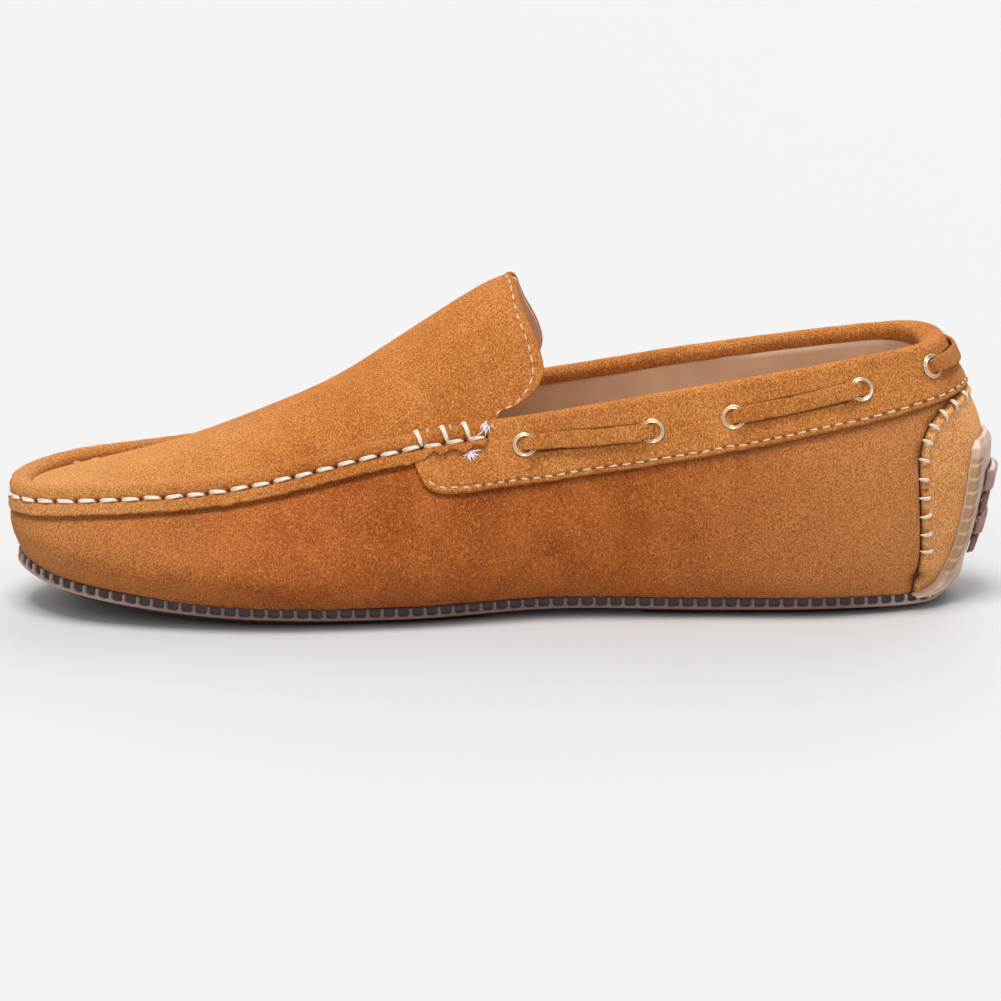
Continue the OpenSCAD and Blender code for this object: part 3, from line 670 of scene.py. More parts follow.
def make_heel_blocks():
    """Four blocks up the back of the tab, every other one thicker and paler."""
    half = BLOCK_HIGH / 2
    for k in range(4):
        low = BLOCK_LOW + BLOCK_PITCH * k
        tall = 2.3 if k % 2 else 1.7
        tt, vv = np.meshgrid(np.linspace(-BLOCK_REACH, BLOCK_REACH, 25),
                             np.linspace(low, low + BLOCK_HIGH, 15), indexing="ij")
        edge = np.minimum(smooth((1 - np.abs(tt) / BLOCK_REACH) / 0.10),
                          smooth((1 - np.abs(vv - low - half) / half) / 0.2))
        n = TAB_T + 0.15 + tall * (0.35 + 0.65 * edge)
        sheet(f"heel_back_block_{k}", off(tt, vv, n), off(tt, vv, np.full_like(tt, TAB_T + 0.1)),
              M["block" if k % 2 else "block_dark"], "heel_back_tread")


# ---- wall and heel panel ----------------------------------------------------

WALL_TOP = 11.8


def wall_drop(t):
    r = half_turn(t)
    return WALL_TOP + (1.75 - WALL_TOP) * smooth((r - THROAT_T) / 0.02)


def wall_v(t, g):
    return g * below(t, wall_drop(t))


def band_depth(t):
    return curve(BAND, np.clip(ring("top", t)[..., 0], *BAND_RANGE))


def crease(p):
    """Soft unevenness of hand-lasted suede."""
    return 0.30 * noise(p, 26, 1) + 0.12 * noise(p, 9, 2)


def settled(t, v, n):
    return off(t, v, n + crease(off(t, v, n)))


SEAM_END = 0.944


def seam_line():
    """The seam between the wall and the heel panel on the inner side, from the sole to its top."""
    g = np.linspace(0, SEAM_END, 400)
    h = curve(PANEL, g)
    return off(h, wall_v(h, g), 0 * g)


def seam_distance(t, v):
    """Distance from the heel seam, with t folded to the inner side."""
    line = seam_line()
    t = half_turn(t)
    far = np.full(t.shape, 60.0)
    near = t < 0.15
    p = off(t[near], v[near], 0 * t[near])
    best = np.full(len(p), 1e9)
    for k in range(0, len(line), 2):
        best = np.minimum(best, np.linalg.norm(p - line[k], axis=-1))
    far[near] = best
    return far


SEAM_REACH = 0.12
SEAM_HALF_GAP = 0.0006
# The whip stitches: share of the wall's height
WHIP = [0.36, 0.45, 0.53, 0.6, 0.67, 0.74, 0.805, 0.855, 0.89, 0.912, 0.925]


def whip_near(p, width):
    """1 beside the heel seam's stitches, on either side of the shoe."""
    g = np.array(WHIP)
    h = curve(PANEL, g)
    total = 0
    for sign in (1, -1):
        for spot in off(sign * h, wall_v(h, g), 0 * g):
            total = total + bump(np.linalg.norm(p - spot, axis=-1), width)
    return np.minimum(total, 1)


def make_wall():
    cols, rows = 640, 110
    f = np.linspace(0, 0.5, cols // 2) ** 1.15 * 0.5 ** -0.15
    f = np.concatenate([f, 1 - f[-2::-1]])
    g = 1 - (1 - np.linspace(0, 1, rows)) ** 1.15
    ff, gg = np.meshgrid(f, g, indexing="ij")
    shift = (curve(PANEL, gg) + SEAM_HALF_GAP) * np.maximum(0, 1 - half_turn(ff) / SEAM_REACH)
    shift[0] = shift[-1] = curve(PANEL, g) + SEAM_HALF_GAP
    t = ff + np.where(ff < 0.5, 1, -1) * shift
    v = wall_v(t, gg)
    seam = seam_distance(t, v)
    dimple = bump(seam, 3.5) * bump(gg - 0.16, 0.07)
    fold = noise(off(t, v, 0 * t), 2.6, 52)
    n = -0.75 * bump(seam - 0.3 * fold, 1.1 + 0.3 * fold) + 0.35 * bump(seam - 4.5, 3) - 0.5 * dimple
    n = n - 0.25 * np.maximum(fold, 0) * bump(seam - 2.2, 1.6)
    band_line = band_depth(t)
    s = (1 - v) / np.maximum(1 - below(t, 1.0), 1e-6)
    quarter = half_turn(t) < BAND_T
    under_band = bump(np.where(quarter, s - band_line - 0.4, 9), 0.9)
    lap = ~quarter | (half_turn(t) > THROAT_T)
    under_lap = bump(np.where(lap, s - LAP_DROP - 0.5, 9), 0.9)
    n = n - 0.35 * (under_band + under_lap)
    # painted shade: the tint darkens the heel seam's gap and the creases beside it, the dimple near the sole,
    # and strips under the edges of the band and the lap
    tint = np.clip(0.8 * bump(seam, 0.5 + 0.3 * fold) + 0.3 * np.maximum(fold, 0) * bump(seam - 1.5, 1.2)
                   + bump(seam, 2.4) * bump(gg - 0.15, 0.055) + 0.35 * under_band + 0.3 * under_lap, 0, 1)
    sheet("vamp_wall_suede", settled(t, v, n), settled(t, v, n - SUEDE), M["wall"],
          "vamp_wall", tint=tint)


def make_heel_panel():
    """The panel's edge is a puffy lip, pinched at each whip stitch."""
    cols, rows = 241, 280
    f = np.linspace(-1, 1, cols)
    f = np.sign(f) * (1 - (1 - np.abs(f)) ** 1.3)
    g = np.linspace(0, SEAM_END, rows)
    ff, gg = np.meshgrid(f, g, indexing="ij")
    t = ff * (curve(PANEL, gg) - SEAM_HALF_GAP)
    v = wall_v(t, gg)
    seam = seam_distance(t, v)
    p = off(t, v, 0 * t)
    pinch = whip_near(p, 1.7)
    wrinkle = noise(p * np.array([1, 1, 2.2]), 2.2, 51)
    lip = 0.95 * bump(seam - 1.9, 1.3) - 0.9 * bump(seam, 0.7)
    dimple = bump(seam, 3.0) * bump(gg - 0.15, 0.06)
    n = lip * (1 - 0.7 * pinch) + 0.38 * wrinkle * bump(seam - 1.6, 2.0) - 0.35 * dimple
    # painted shade: the tint darkens the seam's gap, the dimple near the sole, the wrinkles' troughs and the
    # pinches at the whip stitches
    tint = np.clip(0.8 * bump(seam, 0.5) + 0.9 * bump(seam, 2.4) * bump(gg - 0.15, 0.055)
                   + 0.9 * np.maximum(-wrinkle - 0.15, 0) * bump(seam - 1.4, 1.5)
                   + 0.2 * pinch * bump(seam - 0.8, 1), 0, 1)
    sheet("heel_panel_suede", settled(t, v, n), settled(t, v, np.minimum(n, 0) - SUEDE), M["heel"],
          "heel_panel", tint=tint)


# ---- apron, tongue and their lining -----------------------------------------


def apron_t(c):
    return THROAT_T + (0.5 - THROAT_T) * np.clip(c, 0, 2)


def apron_face(c, f):
    c, f = np.broadcast_arrays(np.asarray(c, float), np.asarray(f, float))
    k = np.maximum(0, np.maximum(-c, c - 2))
    t = apron_t(c)
    p = at(t, 3.2, -2 * OUTSIDE - GAP)
    r = np.abs(c - 1)
    cx = p[..., 0] + (5 + 25 * r) * np.exp(-((r / 0.2) ** 2))
    x = p[..., 0] + (cx - p[..., 0]) * f
    x = x + (curve(TONGUE, f) - x) * k
    top = curve(CROWN, cx + (TONGUE[-1][1] - cx) * k)
    g = np.clip(f * f / (f + 0.05), 0, 1)
    y = p[..., 1] + (spine(x) - p[..., 1]) * f
    z = p[..., 2] + (top - p[..., 2]) * (1 - (1 - g) ** 2.4)
    return np.stack([x, y, z], axis=-1)


def apron_normal(c, f):
    a = apron_face(np.minimum(c + 0.004, 3), f) - apron_face(np.maximum(c - 0.004, -1), f)
    b = apron_face(c, np.minimum(f + 0.01, 1)) - apron_face(c, np.maximum(f - 0.01, 0))
    n = unit(np.cross(a, b))
    n = np.where(n[..., 2:] < 0, -n, n)
    flat = n * np.array([1, 0, 1.0])
    return np.where((np.asarray(f) > 0.99)[..., None], unit(flat), n)


def hand_places():
    """Where the hand stitches of the outer row sit: t of each on the inner side."""
    s = np.arange(float(place(THROAT_T)) + FIRST_STITCH, float(place(0.5)) - 2.5, HAND_PITCH)
    return place_t(s)


def stitch_phase(t):
    """0 at the middle of a hand stitch, 0.5 between two."""
    return ((place(half_turn(t)) - float(place(THROAT_T)) - FIRST_STITCH) / HAND_PITCH + 0.5) % 1.0 - 0.5


# Section of the raised seam: distance below the crest, distance off the upper
RIDGE = [[9.4, 1.35], [9.0, 1.50], [8.0, 1.5], [7.0, 1.45], [6.1, 1.3], [5.3, 1.12], [4.6, 1.3], [3.8, 1.62],
         [2.8, 1.82], [1.8, 1.72], [1.0, 1.3], [0.35, 0.55], [0.0, -0.45], [0.15, -1.45], [0.7, -2.3],
         [1.5, -2.75], [2.4, -2.92], [3.0, -2.85]]
RIDGE_IN = [[s, GAP] for s, _ in RIDGE[:9]] + [
    [2.2, 0.05], [1.9, 0.03], [1.65, -0.1], [1.55, -0.65], [1.6, -1.2], [1.9, -1.34],
    [2.4, -1.36], [3.2, -1.36], [4.4, -1.38]]


def fine_profile(rows, n):
    """A denser list of points along a section, by Catmull-Rom."""
    rows = np.array(rows, float)
    q = np.linspace(0, len(rows) - 1, n)
    i = np.minimum(q.astype(int), len(rows) - 2)
    f = (q - i)[:, None]
    padded = np.concatenate([[2 * rows[0] - rows[1]], rows, [2 * rows[-1] - rows[-2]]])
    return through(padded[i], padded[i + 1], padded[i + 2], padded[i + 3], f)


def toe_roll(t):
    """The seam is thicker round the tip of the toe."""
    return bump(half_turn(t) - 0.5, 0.05)


def make_apron_seam():
    cols, rows = 1101, 56
    profile_out, profile_in = fine_profile(RIDGE, rows), fine_profile(RIDGE_IN, rows)
    t = apron_t(np.linspace(0, 2, cols))[:, None]
    s, n = profile_out[None, :, 0], profile_out[None, :, 1]
    phase = stitch_phase(t)
    gap = bump(np.abs(phase) - 0.5, 0.085)
    outer_leg = n > 0.2
    # the thread pulls the leather in at its holes and lies in a shallow trough
    hole = gap * bump(s - STITCH_DROP, 0.75) * outer_leg
    n = n - 0.85 * hole - outer_leg * 0.22 * (1 - gap) * bump(s - STITCH_DROP, 0.8)
    n = n + outer_leg * 0.18 * np.cos(2 * np.pi * phase) * bump(s - 2.4, 1.6)
    n = np.where(n < -0.45, -0.45 + (n + 0.45) * (1 + 0.75 * toe_roll(t)), n)
    n = n - 0.65 * toe_roll(t) * smooth((s - 6) / 3)
    # near the throat the lap's raw edge lies in scallops on the collar band's front end, and ends round
    x = ring("top", t)[..., 0]
    over_band = smooth((x + 25) / 8)
    lift = over_band * 1.25 * smooth((s - 4.5) / 3)
    low = smooth((s - 5.8) / 3)
    scallop = over_band * (0.75 * np.cos(2 * np.pi * phase) + 0.45 * line_noise(place(t), 2.6, 8)) * low
    along = place(t)
    fray = (0.30 * line_noise(along, 2.2, 5) + 0.16 * line_noise(along, 0.7, 6)) * smooth((s - 8) / 1.2)
    s_out = s - scallop + fray - over_band * 1.4 * low
    end = np.clip(place(half_turn(t)) - float(place(THROAT_T)), 0, 3.5) / 3.5
    round_end = np.sqrt(np.clip(1 - (1 - end) ** 2, 0.04, 1))
    s_out = np.where(s > STITCH_DROP, STITCH_DROP + (s_out - STITCH_DROP) * round_end, s_out)
    tt = np.broadcast_to(t, (cols, rows))
    outer = at(tt, s_out, n + lift)
    outer = at(tt, s_out, n + lift + 0.6 * crease(outer))
    si = profile_in[None, :, 0] + (s_out - s) * (profile_in[None, :, 0] > 4)
    ni = profile_in[None, :, 1] + lift * 0.9 + 0 * tt
    inner = at(tt, si, ni + 0.6 * crease(at(tt, si, ni)))
    # painted shade: the tint darkens the stitch holes and the trough the thread lies in
    tint = np.clip(0.9 * hole + 0.25 * outer_leg * bump(s - STITCH_DROP, 0.75), 0, 1)
    sheet("apron_seam_suede", outer, inner, M["ridge"], "apron", tint=tint)


def apron_columns(n_tongue, n_apron, end=1.0):
    near = -end * np.linspace(1, 0, n_tongue) ** 0.8
    return np.concatenate([near, np.linspace(0, 2, n_apron)[1:-1], 2 - near[::-1]])


def apron_grid(c, f):
    """Points, normals and creases of the apron's face over columns c and rows f."""
    cc, ff = np.meshgrid(c, f, indexing="ij")
    face = apron_face(cc, ff)
    wave = np.where(ff > 0.999, crease(face * np.array([1, 0, 1.0])), crease(face))
    return cc, face, apron_normal(cc, ff), wave


def make_apron_face():
    """The apron's top from the seam's groove over the crown, with the tongue behind the throat."""
    c = apron_columns(40, 561)
    f = np.concatenate([np.linspace(0.0, 0.12, 14), np.linspace(0.12, 1, 70)[1:]])
    cc, face, normal, wave = apron_grid(c, f)
    edge = np.maximum(0, np.maximum(-cc, cc - 2))
    curl = 0.3 * smooth((edge - 0.75) / 0.25) - 0.3 * bump(edge - 0.80, 0.025)
    rim = 0.55 * smooth((edge - 0.97) / 0.03)
    outer = face + normal * (wave + curl - rim)[..., None]
    inner = face + normal * (wave + curl - SUEDE + rim)[..., None]
    sheet("apron_suede", outer, inner, M["apron"], "apron", fold=True)


def make_apron_lining():
    _, face, normal, wave = apron_grid(apron_columns(30, 241, 0.985), np.linspace(0.10, 1, 60))
    outer = face + normal * (wave - SUEDE - 0.12)[..., None]
    inner = face + normal * (wave - SUEDE - 0.95)[..., None]
    sheet("apron_lining_leather", outer, inner, M["tongue_lining"], "apron_lining",
          fold=True)


# ---- collar band, linings, sock ----------------------------------------------


# Section of the band's roll over the topline, as for the seam
ROLL = [[3.6, 1.42], [2.4, 1.5], [1.3, 1.3], [0.45, 0.75], [0.0, -0.1], [0.0, -1.2],
        [0.5, -2.1], [1.4, -2.8], [2.6, -3.05], [3.8, -2.95], [4.6, -2.55]]
ROLL_IN = [[3.6, 0.05], [2.9, 0.03], [2.3, 0.0], [1.7, -0.15], [1.4, -0.35], [1.4, -0.9],
           [1.7, -1.2], [2.1, -1.33], [2.9, -1.36], [3.8, -1.37], [4.6, -1.38]]
FINE_PITCH = 3.5
FINE_RISE = 1.6


def puff(t):
    """The padding of the collar's roll behind the heel."""
    return HEEL_PUFF * smooth((0.1 - half_turn(t)) / 0.09)


def band_wave(t):
    """The band's raw lower edge wanders a little."""
    return 0.35 * line_noise(place(t), 7, 11) + 0.15 * line_noise(place(t), 1.6, 12)


def make_collar_band():
    """The band behind the throat with its roll, and its two front corners under the apron's lap."""
    lower = np.concatenate([[0, 0.012, 0.03, 0.06, 0.09, 0.115], np.linspace(0.14, 1, 56)])
    roll, roll_in = fine_profile(ROLL, 40), fine_profile(ROLL_IN, 40)
    t = np.linspace(-THROAT_T, THROAT_T, 901)
    b = band_depth(t) + band_wave(t)

    def face_n(s_down):
        """The fine stitching pulls a shallow trough above the raw edge."""
        return 1.42 - 0.28 * bump(s_down - FINE_RISE, 0.55) - 0.55 * bump(s_down, 0.35)
    s_face = b[:, None] + (3.6 - b[:, None]) * lower[None, :]
    n_face = face_n(b[:, None] - s_face)

    def with_roll(face, section):
        return np.concatenate([face, np.broadcast_to(section[None, 1:], (len(t), len(section) - 1))], axis=1)
    s_out, n_out = with_roll(s_face, roll[:, 0]), with_roll(n_face, roll[:, 1])
    s_in, n_in = with_roll(s_face, roll_in[:, 0]), with_roll(0 * n_face + GAP, roll_in[:, 1])
    tt = np.broadcast_to(t[:, None], s_out.shape)
    fat = puff(t)[:, None]
    s_out = s_out * np.where(n_out < -0.2, 1 + 0.13 * fat, 1)
    s_in = s_in * np.where(n_in < -0.6, 1 + 0.13 * fat, 1)
    n_out = n_out - fat * smooth((0.9 - n_out) / 3.4)
    n_in = n_in - fat * smooth((0.1 - n_in) / 1.5)
    wave = crease(at(tt, s_out, n_out))
    lump = 0.14 * noise(at(tt, s_out, n_out), 5, 21)
    outer = at(tt, s_out, n_out + wave + lump)
    inner = at(tt, s_in, n_in + wave)
    # painted shade: the tint darkens the fine stitches' holes, and beside the lace it paints the lace's
    # shadow on the band; it also darkens a line along the band's raw lower edge
    from_hole = np.abs((place(t) / FINE_PITCH + 0.5) % 1.0 - 0.5)[:, None] * FINE_PITCH
    holes = smooth((0.75 - from_hole) / 0.3) * bump(b[:, None] - s_out - FINE_RISE, 0.42)
    x = ring("top", t)[:, 0]
    covered = sum(smooth((x - a) / 1.5) * smooth((c - x) / 1.5) for a, c in
                  ((EYELETS[0] + 3, EYELETS[1] - 3), (EYELETS[2] + 3, EYELETS[3] - 3), (EYELETS[4] + 3, 999)))
    beside = covered[:, None] * smooth((3.1 - np.abs(s_out - lace_drop(t)[:, None])) / 0.6)
    tint = np.clip(0.85 * holes + 0.3 * bump(b[:, None] - s_out, 0.3) + 0.75 * beside, 0, 1)
    tint = np.where(n_out > 0.5, tint, 0)
    sheet("collar_band_suede", outer, inner, M["band"], "collar_band", tint=tint)
    for far in (False, True):
        t = np.linspace(THROAT_T - 0.0005, BAND_T + 0.0008, 90)
        b = np.maximum(band_depth(t) + band_wave(t), 9.0)
        f = np.concatenate([lower[:6], np.linspace(0.15, 1, 24)])
        s = b[:, None] + (6.4 - b[:, None]) * f[None, :]
        front = (BAND_T - t[:, None]) / (BAND_T - THROAT_T)
        n = face_n(b[:, None] - s) - 0.4 * bump(front, 0.03)
        sign = -1 if far else 1
        tt = np.broadcast_to(sign * t[:, None], s.shape)
        wave = crease(at(tt, s, n))
        sheet(f"collar_band_front_{'lateral' if far else 'medial'}", at(tt, s, n + wave),
              at(tt, s, 0.05 + wave), M["band"], "collar_band")


def lining_depth(t):
    return SUEDE + 2 * GAP + 0.8 * smooth((0.19 - np.abs(t)) / 0.035)


def make_quarter_lining():
    t = np.linspace(-BAND_T, BAND_T, 500)
    g = np.linspace(0.02, 1, 50)
    tt, gg = np.meshgrid(t, g, indexing="ij")
    top = below(tt, 4.4 + 0.6 * puff(tt) + 4 * smooth((np.abs(tt) - THROAT_T + 0.01) / 0.01))
    v = gg * top
    depth = lining_depth(tt)
    p = off(tt, v, -depth)
    wave = crease(p) * 0.8 + 0.12 * noise(p, 6, 31)
    sheet("quarter_lining_leather", off(tt, v, -depth + wave), off(tt, v, -depth - 0.8 + wave), M["lining"],
          "quarter_lining")


BOARD_T, FOAM_T, SOCK_T = 1.8, 2.5, 0.9


def make_footbed():
    rows = 41
    under = GAP + BOARD_T + GAP + FOAM_T + GAP
    t = np.linspace(0.012, 0.488, 160)
    low, high = across(t, 3.6, rows, under), across(t, 3.6, rows, under + SOCK_T)
    g = np.abs(np.linspace(-1, 1, rows))[None, :]
    high[..., 2] += 0.35 * g**3 - 0.25 * (1 - smooth((1 - g) / 0.05))
    sheet("sock_leather", high, low, M["sock"], "sock_liner")


# ---- eyelets and lace --------------------------------------------------------


def surface_frame(t, s):
    """Place on the band, with its outward, upward and lengthways directions."""
    p = at(t, s, 0.0)
    out = unit(at(t, s, 1.0) - at(t, s, -1.0))
    up = unit(at(t, s - 1, 0.0) - at(t, s + 1, 0.0))
    return p, out, up, unit(np.cross(up, out))


# Section of an eyelet's double ring: distance from its middle, height off the upper
RING_SECTION = [[2.3, -0.25], [2.28, 1.5], [2.36, 1.95], [2.55, 2.15], [2.74, 2.05],
                [2.88, 1.86], [3.04, 1.9], [3.26, 2.02], [3.48, 1.9], [3.6, 1.66],
                [3.5, 1.44], [2.66, 1.4], [2.62, -0.25]]


def make_eyelets():
    profile = fine_profile(RING_SECTION, 40)
    sides = 64
    a = np.linspace(0, 2 * np.pi, sides, endpoint=False)
    for far in (False, True):
        parts = []
        for x in EYELETS:
            t = float(find_t(x))
            t = 1 - t if far else t
            p, out, up, along = surface_frame(np.array(t), lace_drop(t))
            tip = 0.04 * rng.normal(size=2)
            out = unit(out + tip[0] * up + tip[1] * along)
            along = unit(np.cross(up, out))
            up = np.cross(out, along)
            spoke = np.cos(a)[None, :, None] * along + np.sin(a)[None, :, None] * up
            rings = p + profile[:, None, :1] * spoke + profile[:, None, 1:] * out
            n = len(profile)
            ids = np.arange(n * sides).reshape(n, sides)
            nxt = np.roll(ids, -1, axis=1)
            faces = np.stack([ids, np.roll(ids, -1, axis=0), np.roll(nxt, -1, axis=0), nxt], axis=-1)
            parts.append((rings.reshape(-1, 3), faces.reshape(-1, 4).tolist()))
        side_name = "lateral" if far else "medial"
        many(f"eyelets_{side_name}_gold", parts, M["brass"], f"eyelets_{side_name}")


LACE_W, LACE_T = 5.0, 1.2
LACE_IN = -0.8
LACE_LIFT = 0.5
LACE_OUT = OUTSIDE + LACE_T / 2 + LACE_LIFT


def lace_drop(t):
    """How far below the topline the lace and its eyelets sit."""
    return curve(DROP, np.clip(ring("top", t)[..., 0], -130, 131))


def lace_rows():
    """The lace's route: place round the shoe (mm), distance off the surface, width, thickness."""
    def spot(x):
        return float(place(find_t(x)))

    def hole(x, way):
        shape = [[-7.5, LACE_OUT, LACE_W, LACE_T], [-4.2, OUTSIDE + 1.5, LACE_W, LACE_T],
                 [-1.7, OUTSIDE + 1.6, 4.3, LACE_T], [-0.35, OUTSIDE + 1.1, 3.9, LACE_T],
                 [0.1, OUTSIDE, 3.8, 1], [0.1, 0.2, 3.8, 1], [0.9, LACE_IN + 0.15, 3.9, 0.8],
                 [3, LACE_IN, 4.3, 0.8], [6, LACE_IN, LACE_W, 0.8]]
        return [[spot(x) - q[0] * way, *q[1:]] for q in shape]

    def run(x0, x1, n, depth, thick):
        return [[spot(x0) + (spot(x1) - spot(x0)) * k / n, depth, LACE_W, thick] for k in range(n + 1)]
    e = EYELETS
    half = (hole(e[0], -1)[7::-1] + run(e[0] + 11, e[1] - 11, 3, LACE_OUT, LACE_T) + hole(e[1], 1)
            + hole(e[2], -1)[::-1] + run(e[2] + 11, e[3] - 11, 2, LACE_OUT, LACE_T) + hole(e[3], 1)
            + hole(e[4], -1)[::-1] + [[4.0, LACE_OUT, LACE_W, LACE_T]])
    return half + [[0.0, LACE_OUT, LACE_W, LACE_T]] + [[-q[0], *q[1:]] for q in half[::-1]]


def make_lace():
    rows = fine_profile(lace_rows(), 1500)
    s = rows[:, 0]
    t = place_t(s)
    low = lace_drop(t)
    wander = 0.3 * line_noise(s, 14, 41) + 0.12 * line_noise(s, 4, 44)
    mid = at(t, low + wander, rows[:, 1] + 0.12 * line_noise(s, 9, 45) * (rows[:, 1] > OUTSIDE + 0.5))
    along = unit(np.gradient(mid, axis=0))
    w = unit(at(t, low + 1, rows[:, 1]) - at(t, low - 1, rows[:, 1]))
    w = unit(w + 0.16 * line_noise(s, 11, 46)[:, None] * np.cross(along, w))
    h = unit(np.cross(along, w))
    corner = np.linspace(0, 2 * np.pi, 20, endpoint=False)
    cx = np.sign(np.cos(corner)) * np.abs(np.cos(corner)) ** 0.35
    cy = np.sign(np.sin(corner)) * np.abs(np.sin(corner)) ** 0.55
    fray = 0.11 * line_noise(s, 0.9, 43) + 0.10 * line_noise(s, 2.6, 47)
    grid = (mid[:, None] + w[:, None] * (cx[None, :, None] * (rows[:, 2] / 2 + fray)[:, None, None])
            + h[:, None] * (cy[None, :, None] * (rows[:, 3] / 2)[:, None, None]))
    loop_skin("lace_thong", grid, M["lace"], "lace")


# ---- stitches ----------------------------------------------------------------


def strand_pair(path, radius, turns, lift, start=0.0):
    """A two-ply thread: two strands wound round a path, side by side at its middle."""
    n = len(path)
    tangent = unit(np.gradient(path, axis=0))
    a = unit(np.cross(tangent, lift))
    b = np.cross(a, tangent)
    u = np.linspace(0, 1, n)
    fat = np.sqrt(np.clip(1 - (2 * u - 1) ** 6, 0.02, 1))
    parts = []
    for k in range(2):
        ang = 2 * np.pi * turns * (u - 0.5) + np.pi * (k + start)
        p = path + 0.5 * radius * fat[:, None] * (np.cos(ang)[:, None] * a + np.sin(ang)[:, None] * b)
        parts.append(tube(p, 0.62 * radius, 8, taper=fat))
    return parts


def stitch(t0, s0, t1, s1, height, radius, dip, turns, n=15):
    """A stitch between two places on the upper, its ends sunk into the leather."""
    u = np.linspace(0, 1, n)
    t = t0 + (t1 - t0) * u
    s = s0 + (s1 - s0) * u
    arch = 1 - np.abs(2 * u - 1) ** 5
    path = at(t, s, height - dip * (1 - arch))
    path = path + (0.6 * crease(path))[:, None] * outward(t, below(t, np.maximum(s, 0)))
    out = outward(np.array(t0), below(np.array(t0), max(s0, 0)))
    return strand_pair(path, radius, turns, lift=out)


def make_hand_stitches():
    near = hand_places()
    half = 0.40 * HAND_PITCH
    parts = []
    for t in np.concatenate([near, [0.5], 1 - near]):
        s = float(place(t))
        wob = 0.18 * rng.normal(size=2)
        a, b = place_t(s - half), place_t(s + half)
        parts += stitch(a, STITCH_DROP + wob[0], b, STITCH_DROP + wob[1], 1.46, 0.56, dip=1.25, turns=0.3)
    many("apron_seam_thread_white", parts, M["thread"], "apron_seam_thread")


def make_inner_stitches():
    near = hand_places()[1:]
    parts = []
    for t in np.concatenate([near, 1 - near]):
        s = float(place(t)) - HAND_PITCH / 2
        a, b = place_t(s - 1.6), place_t(s + 1.6)
        parts += stitch(a, 2.2, b, 2.2, -3.25, 0.40, dip=-0.8, turns=0.4)
    many("apron_inner_thread_white", parts, M["thread"], "apron_inner_thread")


def over_crest(x_top, x_foot, far, radius, s_foot=5.0):
    """A stitch from inside the seam over its crest and down to the outer row."""
    profile = fine_profile(RIDGE, 60)
    keep = (profile[:, 0] <= s_foot) | (profile[:, 1] < 0)
    keep &= ~((profile[:, 1] < -1.5) & (profile[:, 0] > 1.2))
    p = profile[keep][::-1]
    u = np.linspace(0, 1, len(p))
    t = np.array([float(find_t(x)) for x in np.interp(u, [0, 1], [x_top, x_foot])])
    t = 1 - t if far else t
    grow = 0.32 * np.sqrt(np.clip(1 - (2 * u - 1) ** 8, 0, 1)) - 0.25 * (np.abs(2 * u - 1) ** 8)
    s = p[:, 0] - grow * (p[:, 0] < 0.6)
    n = p[:, 1] + grow * np.sign(p[:, 1] + 0.45)
    path = at(t, s, n)
    path = path + (0.6 * crease(path))[:, None] * outward(t, below(t, np.maximum(s, 0)))
    return strand_pair(path, radius, 0.35, lift=np.array([1.0, 0, 0]), start=0.5)


def make_throat_stitches():
    parts = []
    for far in (False, True):
        for x in (-25.2, -17.8, -11.4):
            parts += over_crest(x - 0.6, x + 3.2, far, 0.6)
        for x in (-22.0, -15.4):
            parts += over_crest(x, x + 1.2, far, 0.22, s_foot=1.4)
    many("throat_cross_stitches_white", parts, M["thread"], "throat_cross_stitches")


def make_whip_stitches():
    """Short arched stitches from the heel seam into the panel, square to the seam."""
    for name, sign in (("medial", 1), ("lateral", -1)):
        parts = []
        for g in WHIP:
            def spot(h):
                r = curve(PANEL, h)
                return off(sign * r, wall_v(r, h), 0 * r)
            p = spot(np.array(g))
            out = outward(sign * curve(PANEL, g), wall_v(curve(PANEL, g), g))
            d = sign * unit(np.cross(spot(np.array(g + 0.005)) - spot(np.array(g - 0.005)), out))
            u = np.linspace(0, 1, 15)
            reach = -0.75 + (3.75 + 0.25 * rng.normal()) * u
            high = 0.25 + 1.35 * np.sin(np.pi * u) ** 0.7 - 0.5 * (np.abs(2 * u - 1) ** 6)
            lean = 0.35 * rng.normal() * (u - 0.5)
            path = p + reach[:, None] * d + high[:, None] * out + lean[:, None] * np.cross(d, out)
            path = path + crease(p) * out
            parts += strand_pair(path, 0.5, 0.35, lift=out)
        many(f"heel_seam_thread_{name}_white", parts, M["thread"], f"heel_seam_thread_{name}")


def make_collar_topstitch():
    near = np.arange(FINE_PITCH / 2, float(place(BAND_T)) - 3, FINE_PITCH)
    parts = []
    for s in np.concatenate([near, -near]):
        a, b = place_t(s - 1.2), place_t(s + 1.2)
        rise = [float(band_depth(q) + band_wave(q)) - FINE_RISE + 0.08 * rng.normal() for q in (a, b)]
        parts += stitch(a, rise[0], b, rise[1], 1.30, 0.22, dip=0.5, turns=0.4, n=9)
    many("collar_topstitch_white", parts, M["fine_thread"], "collar_topstitch")


def make_tongue_topstitch():
    f = np.linspace(0, 1, 800)
    parts = []
    for c in (-0.80, 2.80):
        cc = np.full_like(f, c)
        line = apron_face(cc, f) + apron_normal(cc, f) * (crease(apron_face(cc, f)) - 0.1)[:, None]
        s = run_length(line)
        k = 3.0
        while k < s[-1] - 0.5:
            u = np.linspace(k - 1.15, min(k + 1.15, s[-1]), 9)
            path = np.stack([np.interp(u, s, line[:, j]) for j in range(3)], axis=-1)
            share = np.interp(u, s, f)
            out = apron_normal(np.full_like(share, c), share)
            arch = 1 - np.abs(np.linspace(-1, 1, 9)) ** 4
            path = path + out * (0.3 * arch - 0.2)[:, None]
            parts += strand_pair(path, 0.21, 0.4, lift=out[4])
            k += 3.4
    many("tongue_topstitch_white", parts, M["fine_thread"], "tongue_topstitch")


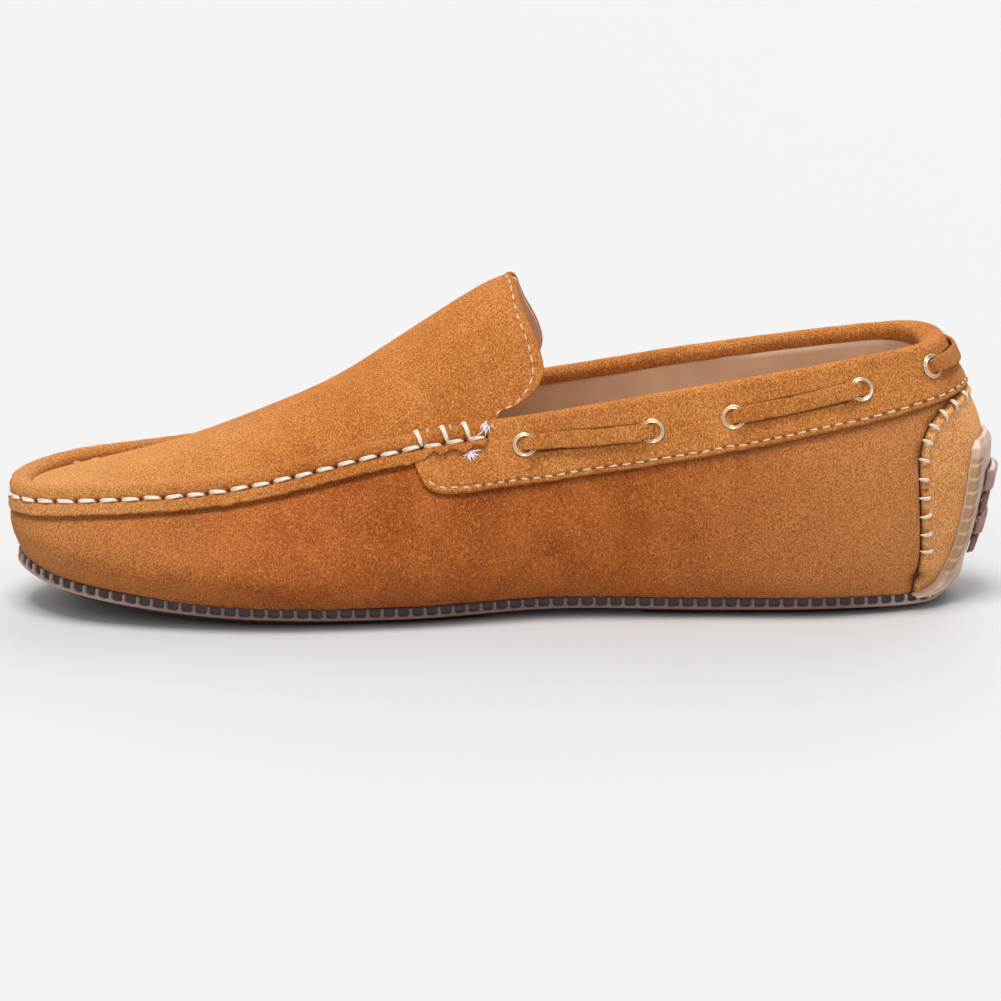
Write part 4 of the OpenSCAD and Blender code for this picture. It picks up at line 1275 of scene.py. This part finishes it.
# Place along, depth below the topline, threads, spread along, spread down, slant
BARTACKS = [[-4.2, 1.8, 20, 1.1, 0.9, 1.5], [-7.6, 9.3, 26, 1.3, 0.6, 0.9]]


def make_bartacks():
    """Bunches of short loose threads where the tongue leaves the seam."""
    parts = []
    for far in (False, True):
        for middle, depth, count, wide, tall, lean in BARTACKS:
            for _ in range(count):
                x = middle + wide * rng.normal() * 0.7
                s = depth + tall * rng.normal() * 0.8
                length = 1.5 + 1.0 * rng.random()
                turn = rng.normal() * 0.6 + lean
                t0 = float(find_t(x))
                t1 = float(find_t(x + length * math.cos(turn)))
                s1 = s + length * math.sin(turn)
                u = np.linspace(0, 1, 9)
                t = t0 + (t1 - t0) * u
                t = 1 - t if far else t
                ss = np.maximum(s + (s1 - s) * u, 0.3)
                n = 1.5 + 0.45 * np.sin(np.pi * u) + 0.25 * rng.random() - 0.3 * (np.abs(2 * u - 1) ** 4)
                parts.append(tube(at(t, ss, n), 0.17, 6))
    many("throat_bartack_threads", parts, M["tack_thread"], "throat_bartacks")


# ---- build -------------------------------------------------------------------

make_outsole()
make_heel_tab()
make_tread("forefoot_tread", -131, -4, 420, 60)
make_tread("heel_tread", 42, 112, 260, 50)
make_heel_blocks()
make_wall()
make_heel_panel()
make_apron_seam()
make_apron_face()
make_apron_lining()
make_collar_band()
make_quarter_lining()
make_footbed()
make_eyelets()
make_lace()
make_hand_stitches()
make_inner_stitches()
make_throat_stitches()
make_whip_stitches()
make_collar_topstitch()
make_tongue_topstitch()
make_bartacks()

for name, look in (("lasting_board", "board"), ("footbed_foam", "foam"), ("heel_counter", "counter"),
                   ("collar_filler", "piping")):
    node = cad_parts[name]
    node.data.materials.clear()
    node.data.materials.append(M[look])

# ---- floor, camera, light ----------------------------------------------------

floor_mesh = bpy.data.meshes.new("floor")
floor_mesh.from_pydata([(-4, -4, 0), (4, -4, 0), (4, 4, 0), (-4, 4, 0)], [], [(0, 1, 2, 3)])
floor = add("floor", floor_mesh)
paper = bpy.data.materials.new("paper")
paper.use_nodes = True
paper_look = paper.node_tree.nodes["Principled BSDF"].inputs
paper_look["Base Color"].default_value = (0.555, 0.555, 0.555, 1)
paper_look["Roughness"].default_value = 0.8
floor_mesh.materials.append(paper)

CAMERA_UP = math.radians(13.5)
CAMERA_FAR = 1.4
TARGET = Vector((0, 0, 0.028))
VIEW_WIDTH = 0.2967965
SENSOR = 36

camera_data = bpy.data.cameras.new("camera")
camera_data.sensor_width = SENSOR
camera_data.lens = SENSOR * CAMERA_FAR / VIEW_WIDTH
camera_data.clip_end = 20
camera = add("camera", camera_data)
camera.location = TARGET + CAMERA_FAR * Vector((0, -math.cos(CAMERA_UP), math.sin(CAMERA_UP)))
camera.rotation_euler = (TARGET - camera.location).to_track_quat("-Z", "Y").to_euler()
bpy.context.scene.camera = camera


def soft_sun(name, toward, strength, spread):
    """Even light from one direction, as from a large soft box."""
    data = bpy.data.lights.new(name, "SUN")
    data.energy = strength
    data.angle = math.radians(spread)
    add(name, data).rotation_euler = (-Vector(toward)).to_track_quat("-Z", "Y").to_euler()


soft_sun("top", (-0.1, -0.28, 1.5), 2.7, 28)
soft_sun("front", (-0.4, -1.3, 0.9), 0.55, 45)
soft_sun("back", (0.3, 1.2, 0.9), 1.0, 45)
world = bpy.data.worlds.new("studio")
world.use_nodes = True
sky = world.node_tree.nodes["Background"].inputs
sky["Color"].default_value = (1, 1, 1, 1)
sky["Strength"].default_value = 0.45
bpy.context.scene.world = world
bpy.context.scene.view_settings.view_transform = "Standard"
